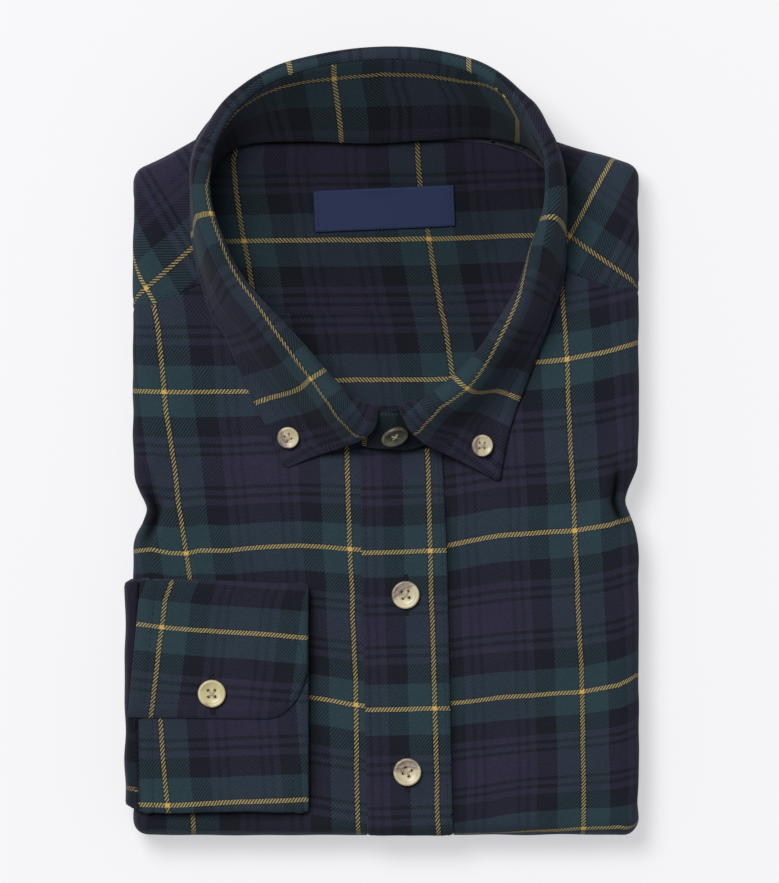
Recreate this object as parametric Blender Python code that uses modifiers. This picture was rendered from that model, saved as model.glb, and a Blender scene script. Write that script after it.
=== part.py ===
"""A flannel dress shirt, buttoned up and folded flat, lying on its back.

Run it with:  blender --background --python part.py
Sizes below are millimetres; MM turns them into Blender's metres. The frame is +Z up, +Y towards the
collar and +X towards the wearer's left. The origin is under the middle of the folded shirt.

Every body piece is a wall of cloth on one set of rulings. A ruling starts on the underside, goes round
the folded edge (RIM_PROFILE), then runs over the flat top to the neck seam. A place on the rim is one
number: its whole part picks an arc or a straight run of the outline, its fraction the spot along it.
"""

import math

import bmesh
import bpy
from mathutils import Matrix, Vector

MM = 0.001

# ---- Cloth ---------------------------------------------------------------------------------------
CLOTH = 1.2            # one layer of brushed flannel
FACED = 1.8            # two layers with interlining: collar, stand, cuff
SEAM_GAP = 0.3         # air between pieces that meet
UNDER_CLOTH = CLOTH + 0.4  # from a piece's outer face down to the hidden layers
INSIDE_GAP = 0.8       # from the fronts down to the back seen through the neck

# ---- The folded outline ----------------------------------------------------------------------------
LEFT_X = -102.1
RIGHT_X = 105.4
BOTTOM_Y = -161.1
NECK_BACK_Y = 141.0
TOP_Z = 25.0           # top of the stack in the middle
# corner, x, y, radius; going round with the shirt on the left hand
CORNERS = (
    ("bottom left", LEFT_X, BOTTOM_Y, 8.2),
    ("bottom right", RIGHT_X, BOTTOM_Y, 8.2),
    ("left shoulder", RIGHT_X, 112.8, 9.0),
    ("neck, wearer's left", 13.6, NECK_BACK_Y, 10.0),
    ("neck, wearer's right", -40.0, NECK_BACK_Y, 10.0),
    ("right shoulder", LEFT_X, 110.6, 9.0),
)
BOTTOM_RUN, LEFT_RUN, RIGHT_RUN = 1, 11, 3     # place numbers of three straight runs
ARC_STEPS = 3
# x of the section lines on the bottom edge, closer at the placket's two edges
BOTTOM_SECTIONS = (-60.0, -30.0, -10.4, -6.6, 6.0, 20.0, 30.0, 33.8, 70.0)
SHORT_RUN_STEPS = 5
SQUEEZE = 0.6          # share of the way to the neck seam that a fold may take up
# y of the section lines on the two long sides, closer where the waist is pinched
SIDE_SECTIONS = (-146.0, -138.0, -130.0, -100.0, -70.0, -46.0, -38.0, -32.0, -26.0, -19.0, -11.0,
                 -2.0, 30.0, 60.0, 80.0, 88.0, 96.0)
GROOVE_FADE = 24.0     # the groove between the folds closes over this distance before a corner
# how far each side is pinched in at a given y
PINCH = (
    # y, wearer's right side, wearer's left side
    (-50.0, 0.0, 0.0),
    (-42.6, 0.0, 0.3),
    (-38.0, 1.4, 1.0),
    (-34.0, 3.8, 2.2),
    (-28.3, 5.7, 4.4),
    (-25.0, 4.8, 5.4),
    (-21.5, 3.0, 4.7),
    (-16.0, 1.0, 2.6),
    (-9.8, 0.2, 0.5),
    (0.0, 0.0, 0.0),
)
PINCH_REACH = 30.0     # a pinch fades out over this distance from the edge

# one section of the folded edge, from the underside to the flat top: the two long sides show two
# folded layers with a groove between them, the bottom and top edges are one round fold
RIM_PROFILE = (
    # side inset, side z, bottom inset, bottom z
    (16.0, 0.0, 16.0, 0.0),
    (8.0, 0.0, 9.0, 0.0),
    (3.6, 1.0, 4.6, 1.3),
    (1.6, 3.4, 1.8, 4.2),
    (1.2, 6.3, 0.4, 8.2),
    (2.6, 8.9, 0.0, 11.6),
    (5.2, 10.2, 0.0, 12.6),
    (5.2, 11.2, 0.1, 13.6),
    (2.6, 12.4, 0.3, 15.4),
    (0.4, 15.0, 0.8, 17.6),
    (0.0, 17.8, 1.6, 19.6),
    (1.0, 21.0, 3.2, 22.2),
    (3.4, 23.9, 4.8, 24.0),
    (8.0, 25.0, 8.4, 25.0),
)
UPPER_FOLD_Z = 11.0    # above this a section leans with the height of the stack
PLATEAU_SHARES = (0.0, 0.3, 0.65, 1.0)

# ---- The neck --------------------------------------------------------------------------------------
NECK_X, NECK_Y = -2.0, 88.0
# the neck seam round that middle point: bearing in degrees from +X, distance
NECK_SEAM = (
    # bearing, distance
    (0.0, 72.4), (16.0, 72.0), (28.0, 65.5), (36.0, 57.5), (47.0, 47.5), (63.0, 38.5), (88.0, 34.2),
    (114.0, 37.8), (132.0, 47.0), (144.0, 58.7), (156.0, 69.7), (176.0, 72.2), (199.0, 69.8),
    (222.0, 69.0), (246.0, 76.5), (261.0, 87.0), (268.0, 89.3), (281.0, 91.5), (287.0, 90.0),
    (306.0, 80.3), (329.0, 73.0),
)
BACK_DROP = 3.0        # the stack is thinner at the shoulders and the back of the neck
BACK_DROP_Y = (88.0, 120.0)
DISH_DEPTH = 6.5       # how far the inside of the back sinks below the fronts
DISH_RUN = 24.0        # measured in from the seam
DISH_FRONT_Y = (-5.0, 45.0)    # the dish fades in from the front to the back over these y
DISH_BACK_Y = (124.0, 84.0)
UNDERLAP = 1.5         # the inside of the back runs this far under the neck seam
HIDDEN_STEP = 5.0      # and the hidden layers sink this much further out
HIDDEN_DROP = 2.9      # from the inside of the back down to the hidden layers
HIDDEN_SHARES = (0.15, 0.3, 0.6)   # their rings inside the neck, from the seam to the middle
FLOOR_INSETS = (18.4, 17.2)    # the hidden layers meet the floor here, inside the shown cloth
INSIDE_SEAM_Y = 52.5   # seam between the inner yoke and the back
INSIDE_ROWS = 9
INSIDE_COLUMNS = 8
SHOULDER_SEAM_Y = (55.8, 62.7)     # at the edge of the wearer's right side and left side

# ---- The collar ------------------------------------------------------------------------------------
# sections from the wearer's right front, round the back, to the left front. The stand rises from the
# seam to its top; the leaf goes on from there, rolls over and falls to its edge. Lie is the way it
# runs in to that edge, back towards the neck and up
COLLAR_SECTIONS = (
    # seam x, seam y, seam z, top x, top y, top z, edge x, edge y, edge z, lie in, lie up
    (-6.0, -0.2, 26.4, -2.5, 12.6, 38.6, -39.8, -11.5, 27.5, 24.0, 1.2),
    (-22.5, 7.0, 26.2, -14.0, 17.5, 42.0, -47.0, 4.5, 27.5, 19.0, 1.5),
    (-36.5, 21.0, 25.8, -27.0, 31.5, 44.0, -55.0, 21.0, 27.5, 13.0, 4.0),
    (-49.5, 37.5, 25.8, -41.0, 48.0, 46.0, -63.5, 39.0, 27.5, 7.0, 8.0),
    (-62.5, 56.0, 25.8, -55.5, 64.0, 47.5, -71.0, 52.5, 27.5, 4.0, 10.0),
    (-69.5, 71.0, 25.6, -64.5, 81.0, 48.5, -76.2, 73.0, 27.4, 2.0, 12.0),
    (-72.5, 90.0, 25.3, -69.5, 97.5, 49.0, -78.7, 95.0, 27.3, 1.0, 12.0),
    (-71.0, 107.0, 25.2, -70.2, 113.0, 48.5, -77.4, 117.0, 25.5, 0.5, 12.0),
    (-64.0, 117.5, 24.6, -65.3, 125.6, 47.0, -73.9, 127.2, 22.5, 0.5, 12.0),
    (-53.0, 121.8, 24.3, -55.7, 138.4, 45.5, -62.7, 139.8, 4.0, 0.0, 18.0),
    (-34.0, 122.9, 24.2, -37.0, 149.4, 43.0, -40.4, 153.0, 1.4, 0.0, 20.0),
    (-2.0, 122.2, 24.2, 1.0, 155.8, 42.0, 1.4, 160.2, 1.2, 0.0, 20.0),
    (32.0, 124.2, 24.2, 35.5, 150.6, 43.0, 38.2, 154.6, 1.4, 0.0, 20.0),
    (49.0, 123.4, 24.3, 53.0, 137.9, 45.5, 59.6, 141.2, 8.0, 0.0, 18.0),
    (60.5, 119.5, 24.6, 60.6, 126.7, 47.0, 67.9, 128.9, 24.5, 0.5, 12.0),
    (67.0, 111.0, 25.2, 65.9, 114.8, 48.5, 72.8, 117.8, 25.5, 0.5, 12.0),
    (70.8, 95.0, 25.3, 66.8, 98.0, 49.0, 75.6, 96.0, 27.3, 1.0, 12.0),
    (68.0, 72.0, 25.6, 61.5, 80.0, 48.5, 75.0, 70.0, 27.4, 2.0, 12.0),
    (62.5, 54.5, 25.8, 54.5, 60.0, 47.5, 71.0, 52.0, 27.5, 4.0, 10.0),
    (54.5, 38.5, 25.8, 46.0, 45.5, 46.0, 65.0, 37.0, 27.5, 7.0, 8.0),
    (42.5, 20.5, 26.0, 34.5, 30.0, 44.0, 58.5, 21.5, 27.5, 13.0, 4.0),
    (28.5, 6.0, 27.4, 21.5, 18.5, 42.0, 52.0, 3.5, 27.5, 20.0, 1.5),
    (14.0, -1.9, 28.9, 8.0, 12.2, 41.4, 48.2, -17.0, 27.5, 26.0, 1.2),
)
STAND_SAMPLES = 50
LEAF_SAMPLES = 46
ROLL_BACK = 3.2            # radius of the leaf's outer face where it turns over
ROLL_FRONT = 4.6
LEAF_GAP = 0.6             # from the stand's top to the leaf
ROLL_STEPS = 4
FALL_STEPS = 4
# the stand runs on past the leaf at both fronts, the wearer's left end over the right one
LEFT_TAB = (
    # seam x, seam y, seam z, top x, top y, top z
    (3.0, -2.2, 29.2, 2.0, 11.8, 42.0),
    (-4.5, -1.8, 29.4, -3.0, 11.4, 42.4),
    (-8.6, -0.4, 30.2, -7.0, 8.6, 40.0),
)
RIGHT_TAB = (
    (4.0, 0.4, 25.8, 5.0, 13.2, 37.0),
    (13.0, 1.6, 25.8, 12.0, 15.2, 37.0),
)

# ---- Placket, cuff, sleeve, label ------------------------------------------------------------------
PLACKET_EDGES = (
    # y, free edge x, sewn edge x
    (-3.4, -8.4, 24.6),
    (-50.0, -8.2, 26.6),
    (-110.0, -6.6, 27.9),
    (-170.0, -5.6, 29.2),
)
PLACKET = 1.6          # thickness of the strip
PLACKET_COLUMNS = 6
PRESS_HALF = 22.0      # half width of the dent that the strip makes round the bottom fold
PRESS_FADE = 3.8
PLACKET_ROWS = (-140.0, -120.0, -95.0, -70.0, -45.0, -20.0, -3.4)
FRONT_UNDERLAP_X = 6.0     # the wearer's right front runs this far under the placket
FRONT_LEFT_START_X = 20.0

CUFF_RIGHT_X = -30.3
CUFF_TOP_Y = -56.4
CUFF_BOTTOM_Y = -152.2
CUFF_SLANT = 1.9           # the fold at the top sits lower on the right
FLAP_EDGE_Y = -113.2
FLAP_CORNER = 20.0         # radius of the flap's rounded corner
FLAP_CORNER_Y = (-68.4, -112.4)    # the corner's rounding grows over these y, from the fold down
FLAP_SPLAY = 1.7           # the flap widens to its full slant this much faster than the cuff
FLAP_ROWS = (0.0, 0.2, 0.5, 0.8)
CUFF_LAP_Y = -86.0         # the hidden end of the cuff, under the flap
CUFF_BASE_Z = 25.5
CUFF_COLUMNS = 8
# left end of each layer of the cuff at its top and bottom: x
CUFF_LEFT_FLAP = (-98.6, -104.0)
CUFF_LEFT_UNDER = (-100.6, -99.6)

SLEEVE = 2.6               # a sleeve pressed flat: two layers
SLEEVE_SECTION = (
    # outwards from the left edge, z
    (3.0, 9.6), (3.3, 12.5), (3.3, 16.0), (3.3, 20.0), (2.9, 23.9), (2.1, 26.8), (0.9, 28.3),
)
SLEEVE_ENDS_Y = (-150.2, -58.6)
SLEEVE_ROWS = 9

LABEL_CENTRE = (1.0, 95.3)
LABEL_WIDTH, LABEL_DEPTH = 57.0, 16.4
LABEL_TURN = 2.5           # degrees
LABEL = 1.0

# ---- Buttons ---------------------------------------------------------------------------------------
BUTTON_LARGE = 11.4        # 18 line
BUTTON_SMALL = 8.9         # 14 line
BUTTON_THICK = 2.4
BUTTON_SIDES = 14
BUTTON_HOLE_OFFSET = 0.106     # from the middle to a hole along both axes, share of the diameter
BUTTON_HOLE_SIZE = 0.11        # share of the diameter
BUTTONS = (
    # name, x, y, z of its back, diameter, lean forward, lean to the right, turn, in degrees
    ("button_front_1", 9.7, -63.1, 27.3, BUTTON_LARGE, 0.0, 0.0, 8.0),
    ("button_front_2", 10.4, -135.7, 27.3, BUTTON_LARGE, 0.0, 0.0, -25.0),
    ("button_cuff", -69.7, -103.5, 31.9, BUTTON_LARGE, 0.0, 0.0, 20.0),
    ("button_collar_right", -38.3, 1.6, 29.7, BUTTON_SMALL, 6.5, -9.5, 30.0),
    ("button_collar_left", 40.8, -1.8, 30.4, BUTTON_SMALL, 3.0, 13.0, 0.0),
    ("button_stand", 4.9, 2.7, 38.4, BUTTON_LARGE, 54.0, 0.0, 21.0),
)

NAVY = (0.020, 0.018, 0.035)
DARK = (0.012, 0.012, 0.018)
LABEL_NAVY = (0.018, 0.026, 0.062)
HORN = (0.52, 0.44, 0.29)


# ---- Numbers ---------------------------------------------------------------------------------------
def blend(a, b, share):
    return a + (b - a) * share


def ease(share):
    """A smooth step from 0 to 1."""
    share = min(1.0, max(0.0, share))
    return share * share * (3.0 - 2.0 * share)


def look_up(table, key, column):
    """Value of a column where the first column reaches key, straight between rows."""
    rows = sorted(table)
    if key <= rows[0][0]:
        return rows[0][column]
    for low, high in zip(rows, rows[1:]):
        if key <= high[0]:
            return blend(low[column], high[column], (key - low[0]) / (high[0] - low[0]))
    return rows[-1][column]


def smooth_rows(table, position):
    """A row between the rows of a table, on a smooth curve through them (position 0 to 1)."""
    spot = position * (len(table) - 1)
    index = min(int(spot), len(table) - 2)
    share = spot - index
    last = len(table) - 1
    before, start, end, after = (table[max(0, min(last, index + step))] for step in (-1, 0, 1, 2))
    row = []
    for a, b, c, d in zip(before, start, end, after):
        slope_in = (c - a) / 2.0
        slope_out = (d - b) / 2.0
        row.append(b + share * (slope_in + share * (3.0 * (c - b) - 2.0 * slope_in - slope_out
                   + share * (2.0 * (b - c) + slope_in + slope_out))))
    return row


# ---- The outline and its rulings -------------------------------------------------------------------
def inward_normal(run):
    """Unit normal, towards the shirt, of the straight run from corner to corner."""
    _, x0, y0, _ = CORNERS[run % len(CORNERS)]
    _, x1, y1, _ = CORNERS[(run + 1) % len(CORNERS)]
    along = Vector((x1 - x0, y1 - y0)).normalized()
    return Vector((-along.y, along.x))


def corner_arc(corner, inset):
    """Centre, radius, start normal and end normal of a rounded corner, moved in by inset."""
    _, x, y, radius = CORNERS[corner % len(CORNERS)]
    before = inward_normal(corner - 1)
    after = inward_normal(corner)
    to_centre = (before + after) / (1.0 + before.dot(after))
    radius = max(radius - inset, 0.6)
    return Vector((x, y)) + to_centre * (inset + radius), radius, before, after


def pinch(y, right_side):
    return look_up(PINCH, y, 2 if right_side else 1)


def rim_point(place, inset):
    """Point of the outline, moved in by inset, in plan."""
    index = int(place) % (2 * len(CORNERS))
    share = place - int(place)
    corner = index // 2
    centre, radius, before, after = corner_arc(corner, inset)
    if index % 2 == 0:
        turn = Matrix.Rotation(-before.angle_signed(after) * share, 2)
        return centre - turn @ before * radius
    start = centre - after * radius
    centre, radius, before, _ = corner_arc(corner + 1, inset)
    point = start.lerp(centre - before * radius, share)
    if index in (LEFT_RUN, RIGHT_RUN):
        depth = pinch(point.y, index == RIGHT_RUN) * math.exp(-inset / PINCH_REACH)
        point.x += depth if index == LEFT_RUN else -depth
    return point


def place_at(run, x=None, y=None):
    """Place number on a straight run where the unpinched outline reaches x or y."""
    corner = run // 2
    centre, radius, _, after = corner_arc(corner, 0.0)
    start = centre - after * radius
    centre, radius, before, _ = corner_arc(corner + 1, 0.0)
    end = centre - before * radius
    if x is not None:
        return run + (x - start.x) / (end.x - start.x)
    return run + (y - start.y) / (end.y - start.y)


def all_places():
    """Every section line round the outline, as place numbers from 0 to 12."""
    places = []
    for run in range(2 * len(CORNERS)):
        if run % 2 == 0:
            places += [run + step / ARC_STEPS for step in range(ARC_STEPS)]
        elif run in (LEFT_RUN, RIGHT_RUN):
            places += [run] + sorted(place_at(run, y=y) for y in SIDE_SECTIONS)
        elif run == BOTTOM_RUN:
            places += [run] + [place_at(run, x=x) for x in BOTTOM_SECTIONS]
        else:
            places += [run + step / SHORT_RUN_STEPS for step in range(SHORT_RUN_STEPS)]
    return places


def places_between(start, end):
    """The section lines from one place to another, with both ends."""
    count = 2 * len(CORNERS)
    between = [place + count * lap for lap in (0, 1) for place in all_places()]
    return [start] + [place for place in between if start + 0.01 < place < end - 0.01] + [end]


def roundness(place):
    """1 where the edge is one round fold, 0 where a groove parts two folds, on the long sides."""
    if int(place) % (2 * len(CORNERS)) not in (LEFT_RUN, RIGHT_RUN):
        return 1.0
    y = rim_point(place, 0.0).y
    from_bottom = y - BOTTOM_Y - CORNERS[0][3]
    from_top = min(CORNERS[2][2], CORNERS[5][2]) - CORNERS[2][3] - y
    return 1.0 - ease(min(from_bottom, from_top) / GROOVE_FADE)


def rim_section(place, depth):
    """The folded edge's section as (inset, z) pairs, moved depth into the stack."""
    share = roundness(place)
    section = [Vector((blend(a, c, share), blend(b, d, share))) for a, b, c, d in RIM_PROFILE]
    moved = []
    for index, point in enumerate(section):
        before = (point - section[index - 1]).normalized() if index else Vector((-1.0, 0.0))
        last = index == len(section) - 1
        after = Vector((1.0, 0.0)) if last else (section[index + 1] - point).normalized()
        normal = Vector((before.y, -before.x)) + Vector((after.y, -after.x))
        normal /= max(0.5, normal.length_squared / 2.0)
        moved.append(point + normal * depth)
    return moved


def neck_distance(bearing):
    """Distance of the neck seam from the middle of the neck, on a smooth closed curve."""
    bearing %= 360.0
    rows = [(a - 360.0, r) for a, r in NECK_SEAM[-2:]] + list(NECK_SEAM)
    rows += [(a + 360.0, r) for a, r in NECK_SEAM[:3]]
    for index in range(1, len(rows) - 2):
        if rows[index][0] <= bearing <= rows[index + 1][0]:
            break
    (a0, r0), (a1, r1), (a2, r2), (a3, r3) = rows[index - 1:index + 3]
    share = (bearing - a1) / (a2 - a1)
    slope_in = (r2 - r0) / (a2 - a0) * (a2 - a1)
    slope_out = (r3 - r1) / (a3 - a1) * (a2 - a1)
    return r1 + share * (slope_in + share * (3.0 * (r2 - r1) - 2.0 * slope_in - slope_out
                         + share * (2.0 * (r1 - r2) + slope_in + slope_out)))


def neck_point(bearing, offset=0.0):
    """Point of the neck seam; a positive offset lies outside the neck."""
    reach = neck_distance(bearing) + offset
    angle = math.radians(bearing)
    return Vector((NECK_X + reach * math.cos(angle), NECK_Y + reach * math.sin(angle)))


def bearing_of(point):
    return math.degrees(math.atan2(point.y - NECK_Y, point.x - NECK_X))


def inside_neck(point):
    """How far a point lies inside the neck seam; negative outside."""
    reach = math.hypot(point.x - NECK_X, point.y - NECK_Y)
    return neck_distance(bearing_of(point)) - reach


def stack_z(point):
    """Height of the flat top of the fronts and yoke."""
    low, high = BACK_DROP_Y
    return TOP_Z - BACK_DROP * ease((point.y - low) / (high - low))


def inside_z(point):
    """Height of the right side of the back, seen through the neck."""
    sink = ease(inside_neck(point) / DISH_RUN)
    for start, end in (DISH_FRONT_Y, DISH_BACK_Y):
        sink *= ease((point.y - start) / (end - start))
    return stack_z(point) - CLOTH - INSIDE_GAP - DISH_DEPTH * sink


def lean(z, plan):
    """Section height z, lowered where the stack is thinner."""
    if z <= UPPER_FOLD_Z:
        return z
    drop = (TOP_Z - stack_z(plan)) * (z - UPPER_FOLD_Z) / (TOP_Z - UPPER_FOLD_Z)
    return z - drop


def placket_press(x):
    """How far the placket's thickness is pressed into the stack at x, round the bottom fold."""
    middle = (look_up(PLACKET_EDGES, BOTTOM_Y, 1) + look_up(PLACKET_EDGES, BOTTOM_Y, 2)) / 2.0
    return (PLACKET + SEAM_GAP + 0.1) * ease((PRESS_HALF - abs(x - middle)) / PRESS_FADE)


def rim_ruling(place, depth=0.0):
    """Points of one ruling round the folded edge, from the underside to the flat top."""
    points = []
    edge = rim_point(place, 0.0)
    room = (edge - neck_point(bearing_of(edge))).length * SQUEEZE
    for (inset, z), (_, face_z) in zip(rim_section(place, depth), rim_section(place, 0.0)):
        if face_z > UPPER_FOLD_Z:
            inset = min(inset, room + depth)
        plan = rim_point(place, inset)
        if int(place) % (2 * len(CORNERS)) == BOTTOM_RUN:
            press = placket_press(plan.x)
            plan.y += press * ease(face_z / 6.0) * ease((24.0 - face_z) / 8.0)
            z += press * (1.0 - ease((face_z - 1.0) / 6.0))
        points.append(Vector((plan.x, plan.y, lean(z, plan))))
    return points


def ruling(place, depth=0.0, neck_offset=0.0):
    """One whole ruling: the folded edge, then over the flat top to the neck seam."""
    points = rim_ruling(place, depth)
    start = points[-1].xy
    end = neck_point(bearing_of(rim_point(place, 0.0)), neck_offset)
    for share in PLATEAU_SHARES[1:]:
        plan = start.lerp(end, share)
        points.append(Vector((plan.x, plan.y, stack_z(plan) - depth)))
    return points


# ---- Blender helpers -------------------------------------------------------------------------------
def clear_scene():
    for old in list(bpy.data.objects):
        bpy.data.objects.remove(old, do_unlink=True)


def make_collection(name):
    collection = bpy.data.collections.new(name)
    bpy.context.scene.collection.children.link(collection)
    return collection


def make_material(name, colour, roughness):
    material = bpy.data.materials.new(name)
    material.use_nodes = True
    shader = material.node_tree.nodes["Principled BSDF"]
    shader.inputs["Base Color"].default_value = (*colour, 1.0)
    shader.inputs["Roughness"].default_value = roughness
    shader.inputs["Metallic"].default_value = 0.0
    return material


def add_object(name, mesh, collection, material):
    obj = bpy.data.objects.new(name, mesh)
    obj.data.materials.append(material)
    collection.objects.link(obj)
    return obj


def grid_faces(rows, columns, first=0):
    """Quads of a grid whose points run row by row."""
    faces = []
    for row in range(rows - 1):
        for column in range(columns - 1):
            corner = first + row * columns + column
            faces.append((corner, corner + columns, corner + columns + 1, corner + 1))
    return faces


def cloth_wall(name, rows, thickness, collection, material, even=True):
    """A wall of cloth: rows of points on its outer face, given thickness inwards by Solidify."""
    columns = len(rows[0])
    mesh = bpy.data.meshes.new(name)
    points = [tuple(point * MM) for row in rows for point in row]
    mesh.from_pydata(points, [], grid_faces(len(rows), columns))
    mesh.shade_smooth()
    obj = add_object(name, mesh, collection, material)
    wall = obj.modifiers.new("cloth", "SOLIDIFY")
    wall.thickness = thickness * MM
    wall.offset = -1.0
    wall.use_even_offset = even
    return obj


# ---- Hidden layers ---------------------------------------------------------------------------------
def folded_layers(collection, material):
    """Back, sleeves and tail, folded out of sight: one rounded solid inside the shown cloth."""
    bm = bmesh.new()
    rings = []
    middle = Vector((NECK_X, NECK_Y))
    for place in all_places():
        points = rim_ruling(place, UNDER_CLOTH)
        under = points[0].z
        points[0] = Vector((*rim_point(place, FLOOR_INSETS[1]), under))
        points.insert(0, Vector((*rim_point(place, FLOOR_INSETS[0]), 0.0)))
        bearing = bearing_of(rim_point(place, 0.0))
        plans = [neck_point(bearing, offset) for offset in (UNDERLAP + HIDDEN_STEP, 0.0)]
        plans += [neck_point(bearing).lerp(middle, share) for share in HIDDEN_SHARES]
        points += [Vector((plan.x, plan.y, inside_z(plan) - HIDDEN_DROP)) for plan in plans]
        rings.append([bm.verts.new(point * MM) for point in points])
    top = bm.verts.new(Vector((NECK_X, NECK_Y, inside_z(middle) - HIDDEN_DROP)) * MM)
    for this, following in zip(rings, rings[1:] + rings[:1]):
        for index in range(len(this) - 1):
            bm.faces.new((this[index], following[index], following[index + 1], this[index + 1]))
        bm.faces.new((this[-1], following[-1], top))
    bm.faces.new([ring[0] for ring in reversed(rings)])
    bmesh.ops.recalc_face_normals(bm, faces=bm.faces)
    mesh = bpy.data.meshes.new("folded_layers")
    bm.to_mesh(mesh)
    bm.free()
    mesh.shade_smooth()
    return add_object("folded_layers", mesh, collection, material)


# ---- Fronts and yoke -------------------------------------------------------------------------------
def seam_place(run, y, gap_side):
    """Place of a shoulder seam at the edge, half a seam gap to one side of it."""
    return place_at(run, y=y + gap_side * SEAM_GAP)


def body_pieces(collection, materials):
    right_seam, left_seam = SHOULDER_SEAM_Y
    spans = {
        "front_right": (seam_place(LEFT_RUN, right_seam, -1),
                        12 + place_at(BOTTOM_RUN, x=FRONT_UNDERLAP_X)),
        "front_left": (place_at(BOTTOM_RUN, x=FRONT_LEFT_START_X),
                       seam_place(RIGHT_RUN, left_seam, -1)),
        "yoke_outer": (seam_place(RIGHT_RUN, left_seam, 1), seam_place(LEFT_RUN, right_seam, 1)),
    }
    for name, (start, end) in spans.items():
        rows = [ruling(place) for place in places_between(start, end)]
        cloth_wall(name, rows, CLOTH, collection, materials["cloth"])


def inside_row(y):
    """Plan points across the inside of the neck at one y, running under the neck seam."""
    def reach(side):
        step = 0.0
        while inside_neck(Vector((NECK_X + side * step, y))) > -UNDERLAP and step < 90.0:
            step += 0.5
        return NECK_X + side * step
    left, right = reach(-1), reach(1)
    return [Vector((blend(left, right, index / INSIDE_COLUMNS), y))
            for index in range(INSIDE_COLUMNS + 1)]


def inside_pieces(collection, materials):
    """Inner yoke and back, seen through the neck."""
    back_y = neck_point(90.0, UNDERLAP).y - 1.0
    front_y = neck_point(270.0, UNDERLAP).y + 4.0
    spans = {
        "yoke_inside": (INSIDE_SEAM_Y + SEAM_GAP / 2.0, back_y),
        "back_inside": (front_y, INSIDE_SEAM_Y - SEAM_GAP / 2.0),
    }
    for name, (low, high) in spans.items():
        rows = []
        for index in range(INSIDE_ROWS + 1):
            plans = inside_row(blend(low, high, index / INSIDE_ROWS))
            rows.append([Vector((plan.x, plan.y, inside_z(plan))) for plan in reversed(plans)])
        cloth_wall(name, rows, CLOTH, collection, materials["cloth"])


def neck_label(collection, materials):
    """The bare woven label on the inner yoke, made from the yoke's points moved out."""
    turn = math.radians(LABEL_TURN)
    rows = []
    for row in range(4):
        depth = (row / 3.0 - 0.5) * LABEL_DEPTH
        points = []
        for column in range(9):
            across = (0.5 - column / 8.0) * LABEL_WIDTH
            x = LABEL_CENTRE[0] + across * math.cos(turn) - depth * math.sin(turn)
            y = LABEL_CENTRE[1] + across * math.sin(turn) + depth * math.cos(turn)
            z = inside_z(Vector((x, y))) + SEAM_GAP + LABEL + 0.1
            points.append(Vector((x, y, z)))
        rows.append(points)
    cloth_wall("neck_label", rows, LABEL, collection, materials["label"])


# ---- Placket ---------------------------------------------------------------------------------------
def front_placket(collection, materials):
    """The front band with the buttonholes, laid on both fronts and round the bottom fold."""
    out = SEAM_GAP + PLACKET
    rows = []
    for column in range(PLACKET_COLUMNS + 1):
        share = column / PLACKET_COLUMNS

        def edge_x(y):
            return blend(look_up(PLACKET_EDGES, y, 1), look_up(PLACKET_EDGES, y, 2), share)

        wrap = rim_ruling(place_at(BOTTOM_RUN, x=edge_x(BOTTOM_Y)), -out)
        rows.append(wrap + [Vector((edge_x(y), y, TOP_Z + out)) for y in PLACKET_ROWS])
    cloth_wall("front_placket", rows, PLACKET, collection, materials["cloth"])


# ---- Collar ----------------------------------------------------------------------------------------
def stand_rows():
    """Sections of the stand, both tabs included: rows of (seam point, middle, top point)."""
    body = [smooth_rows(COLLAR_SECTIONS, index / (STAND_SAMPLES - 1))[:6]
            for index in range(STAND_SAMPLES)]
    return [list(row) for row in reversed(RIGHT_TAB)] + body + [list(row) for row in LEFT_TAB]


def collar_stand(collection, materials):
    rows = []
    for x0, y0, z0, x1, y1, z1 in stand_rows():
        low, high = Vector((x0, y0, z0)), Vector((x1, y1, z1))
        rows.append([low, low.lerp(high, 0.5), high])
    return cloth_wall("collar_stand", rows, FACED, collection, materials["cloth"], even=False)


def leaf_section(row, along, roll):
    """One section of the leaf: from the stand's top round the roll, then down to its edge."""
    x0, y0, z0, x1, y1, z1, x2, y2, z2, lie_in, lie_up = row
    seam, top, edge = Vector((x0, y0, z0)), Vector((x1, y1, z1)), Vector((x2, y2, z2))
    climb = (top - seam).normalized()
    outward = climb.cross(along).normalized()
    start = top + climb * LEAF_GAP
    turn_start = start + climb * LEAF_GAP
    centre = turn_start + outward * roll

    def on_roll(angle):
        return centre + (climb * math.sin(angle) - outward * math.cos(angle)) * roll

    def heading(angle):
        return climb * math.cos(angle) + outward * math.sin(angle)

    def aim(degrees):
        angle = math.radians(degrees)
        return heading(angle).dot((edge - on_roll(angle)).normalized())

    end = math.radians(max(range(60, 166, 3), key=aim))
    points = [start] + [on_roll(end * step / ROLL_STEPS) for step in range(ROLL_STEPS + 1)]
    leave = points[-1]
    back = (leave - edge).xy.normalized()
    lift = leave + heading(end) * (edge - leave).length * 0.3
    rest = edge + Vector((back.x * lie_in, back.y * lie_in, lie_up))
    for step in range(1, FALL_STEPS + 1):
        share = step / FALL_STEPS
        rise = 1.0 - share
        points.append(leave * rise ** 3 + lift * (3.0 * rise * rise * share)
                      + rest * (3.0 * rise * share * share) + edge * share ** 3)
    return points


def collar_leaf(collection, materials):
    rows = []
    for index in range(LEAF_SAMPLES):
        position = index / (LEAF_SAMPLES - 1)
        row = smooth_rows(COLLAR_SECTIONS, position)
        before = smooth_rows(COLLAR_SECTIONS, max(0.0, position - 0.01))
        after = smooth_rows(COLLAR_SECTIONS, min(1.0, position + 0.01))
        along = Vector(after[3:6]) - Vector(before[3:6])
        roll = blend(ROLL_BACK, ROLL_FRONT, ease(abs(position - 0.5) * 2.0))
        rows.append(leaf_section(row, along, roll))
    return cloth_wall("collar_leaf", rows, FACED, collection, materials["cloth"], even=False)


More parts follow.
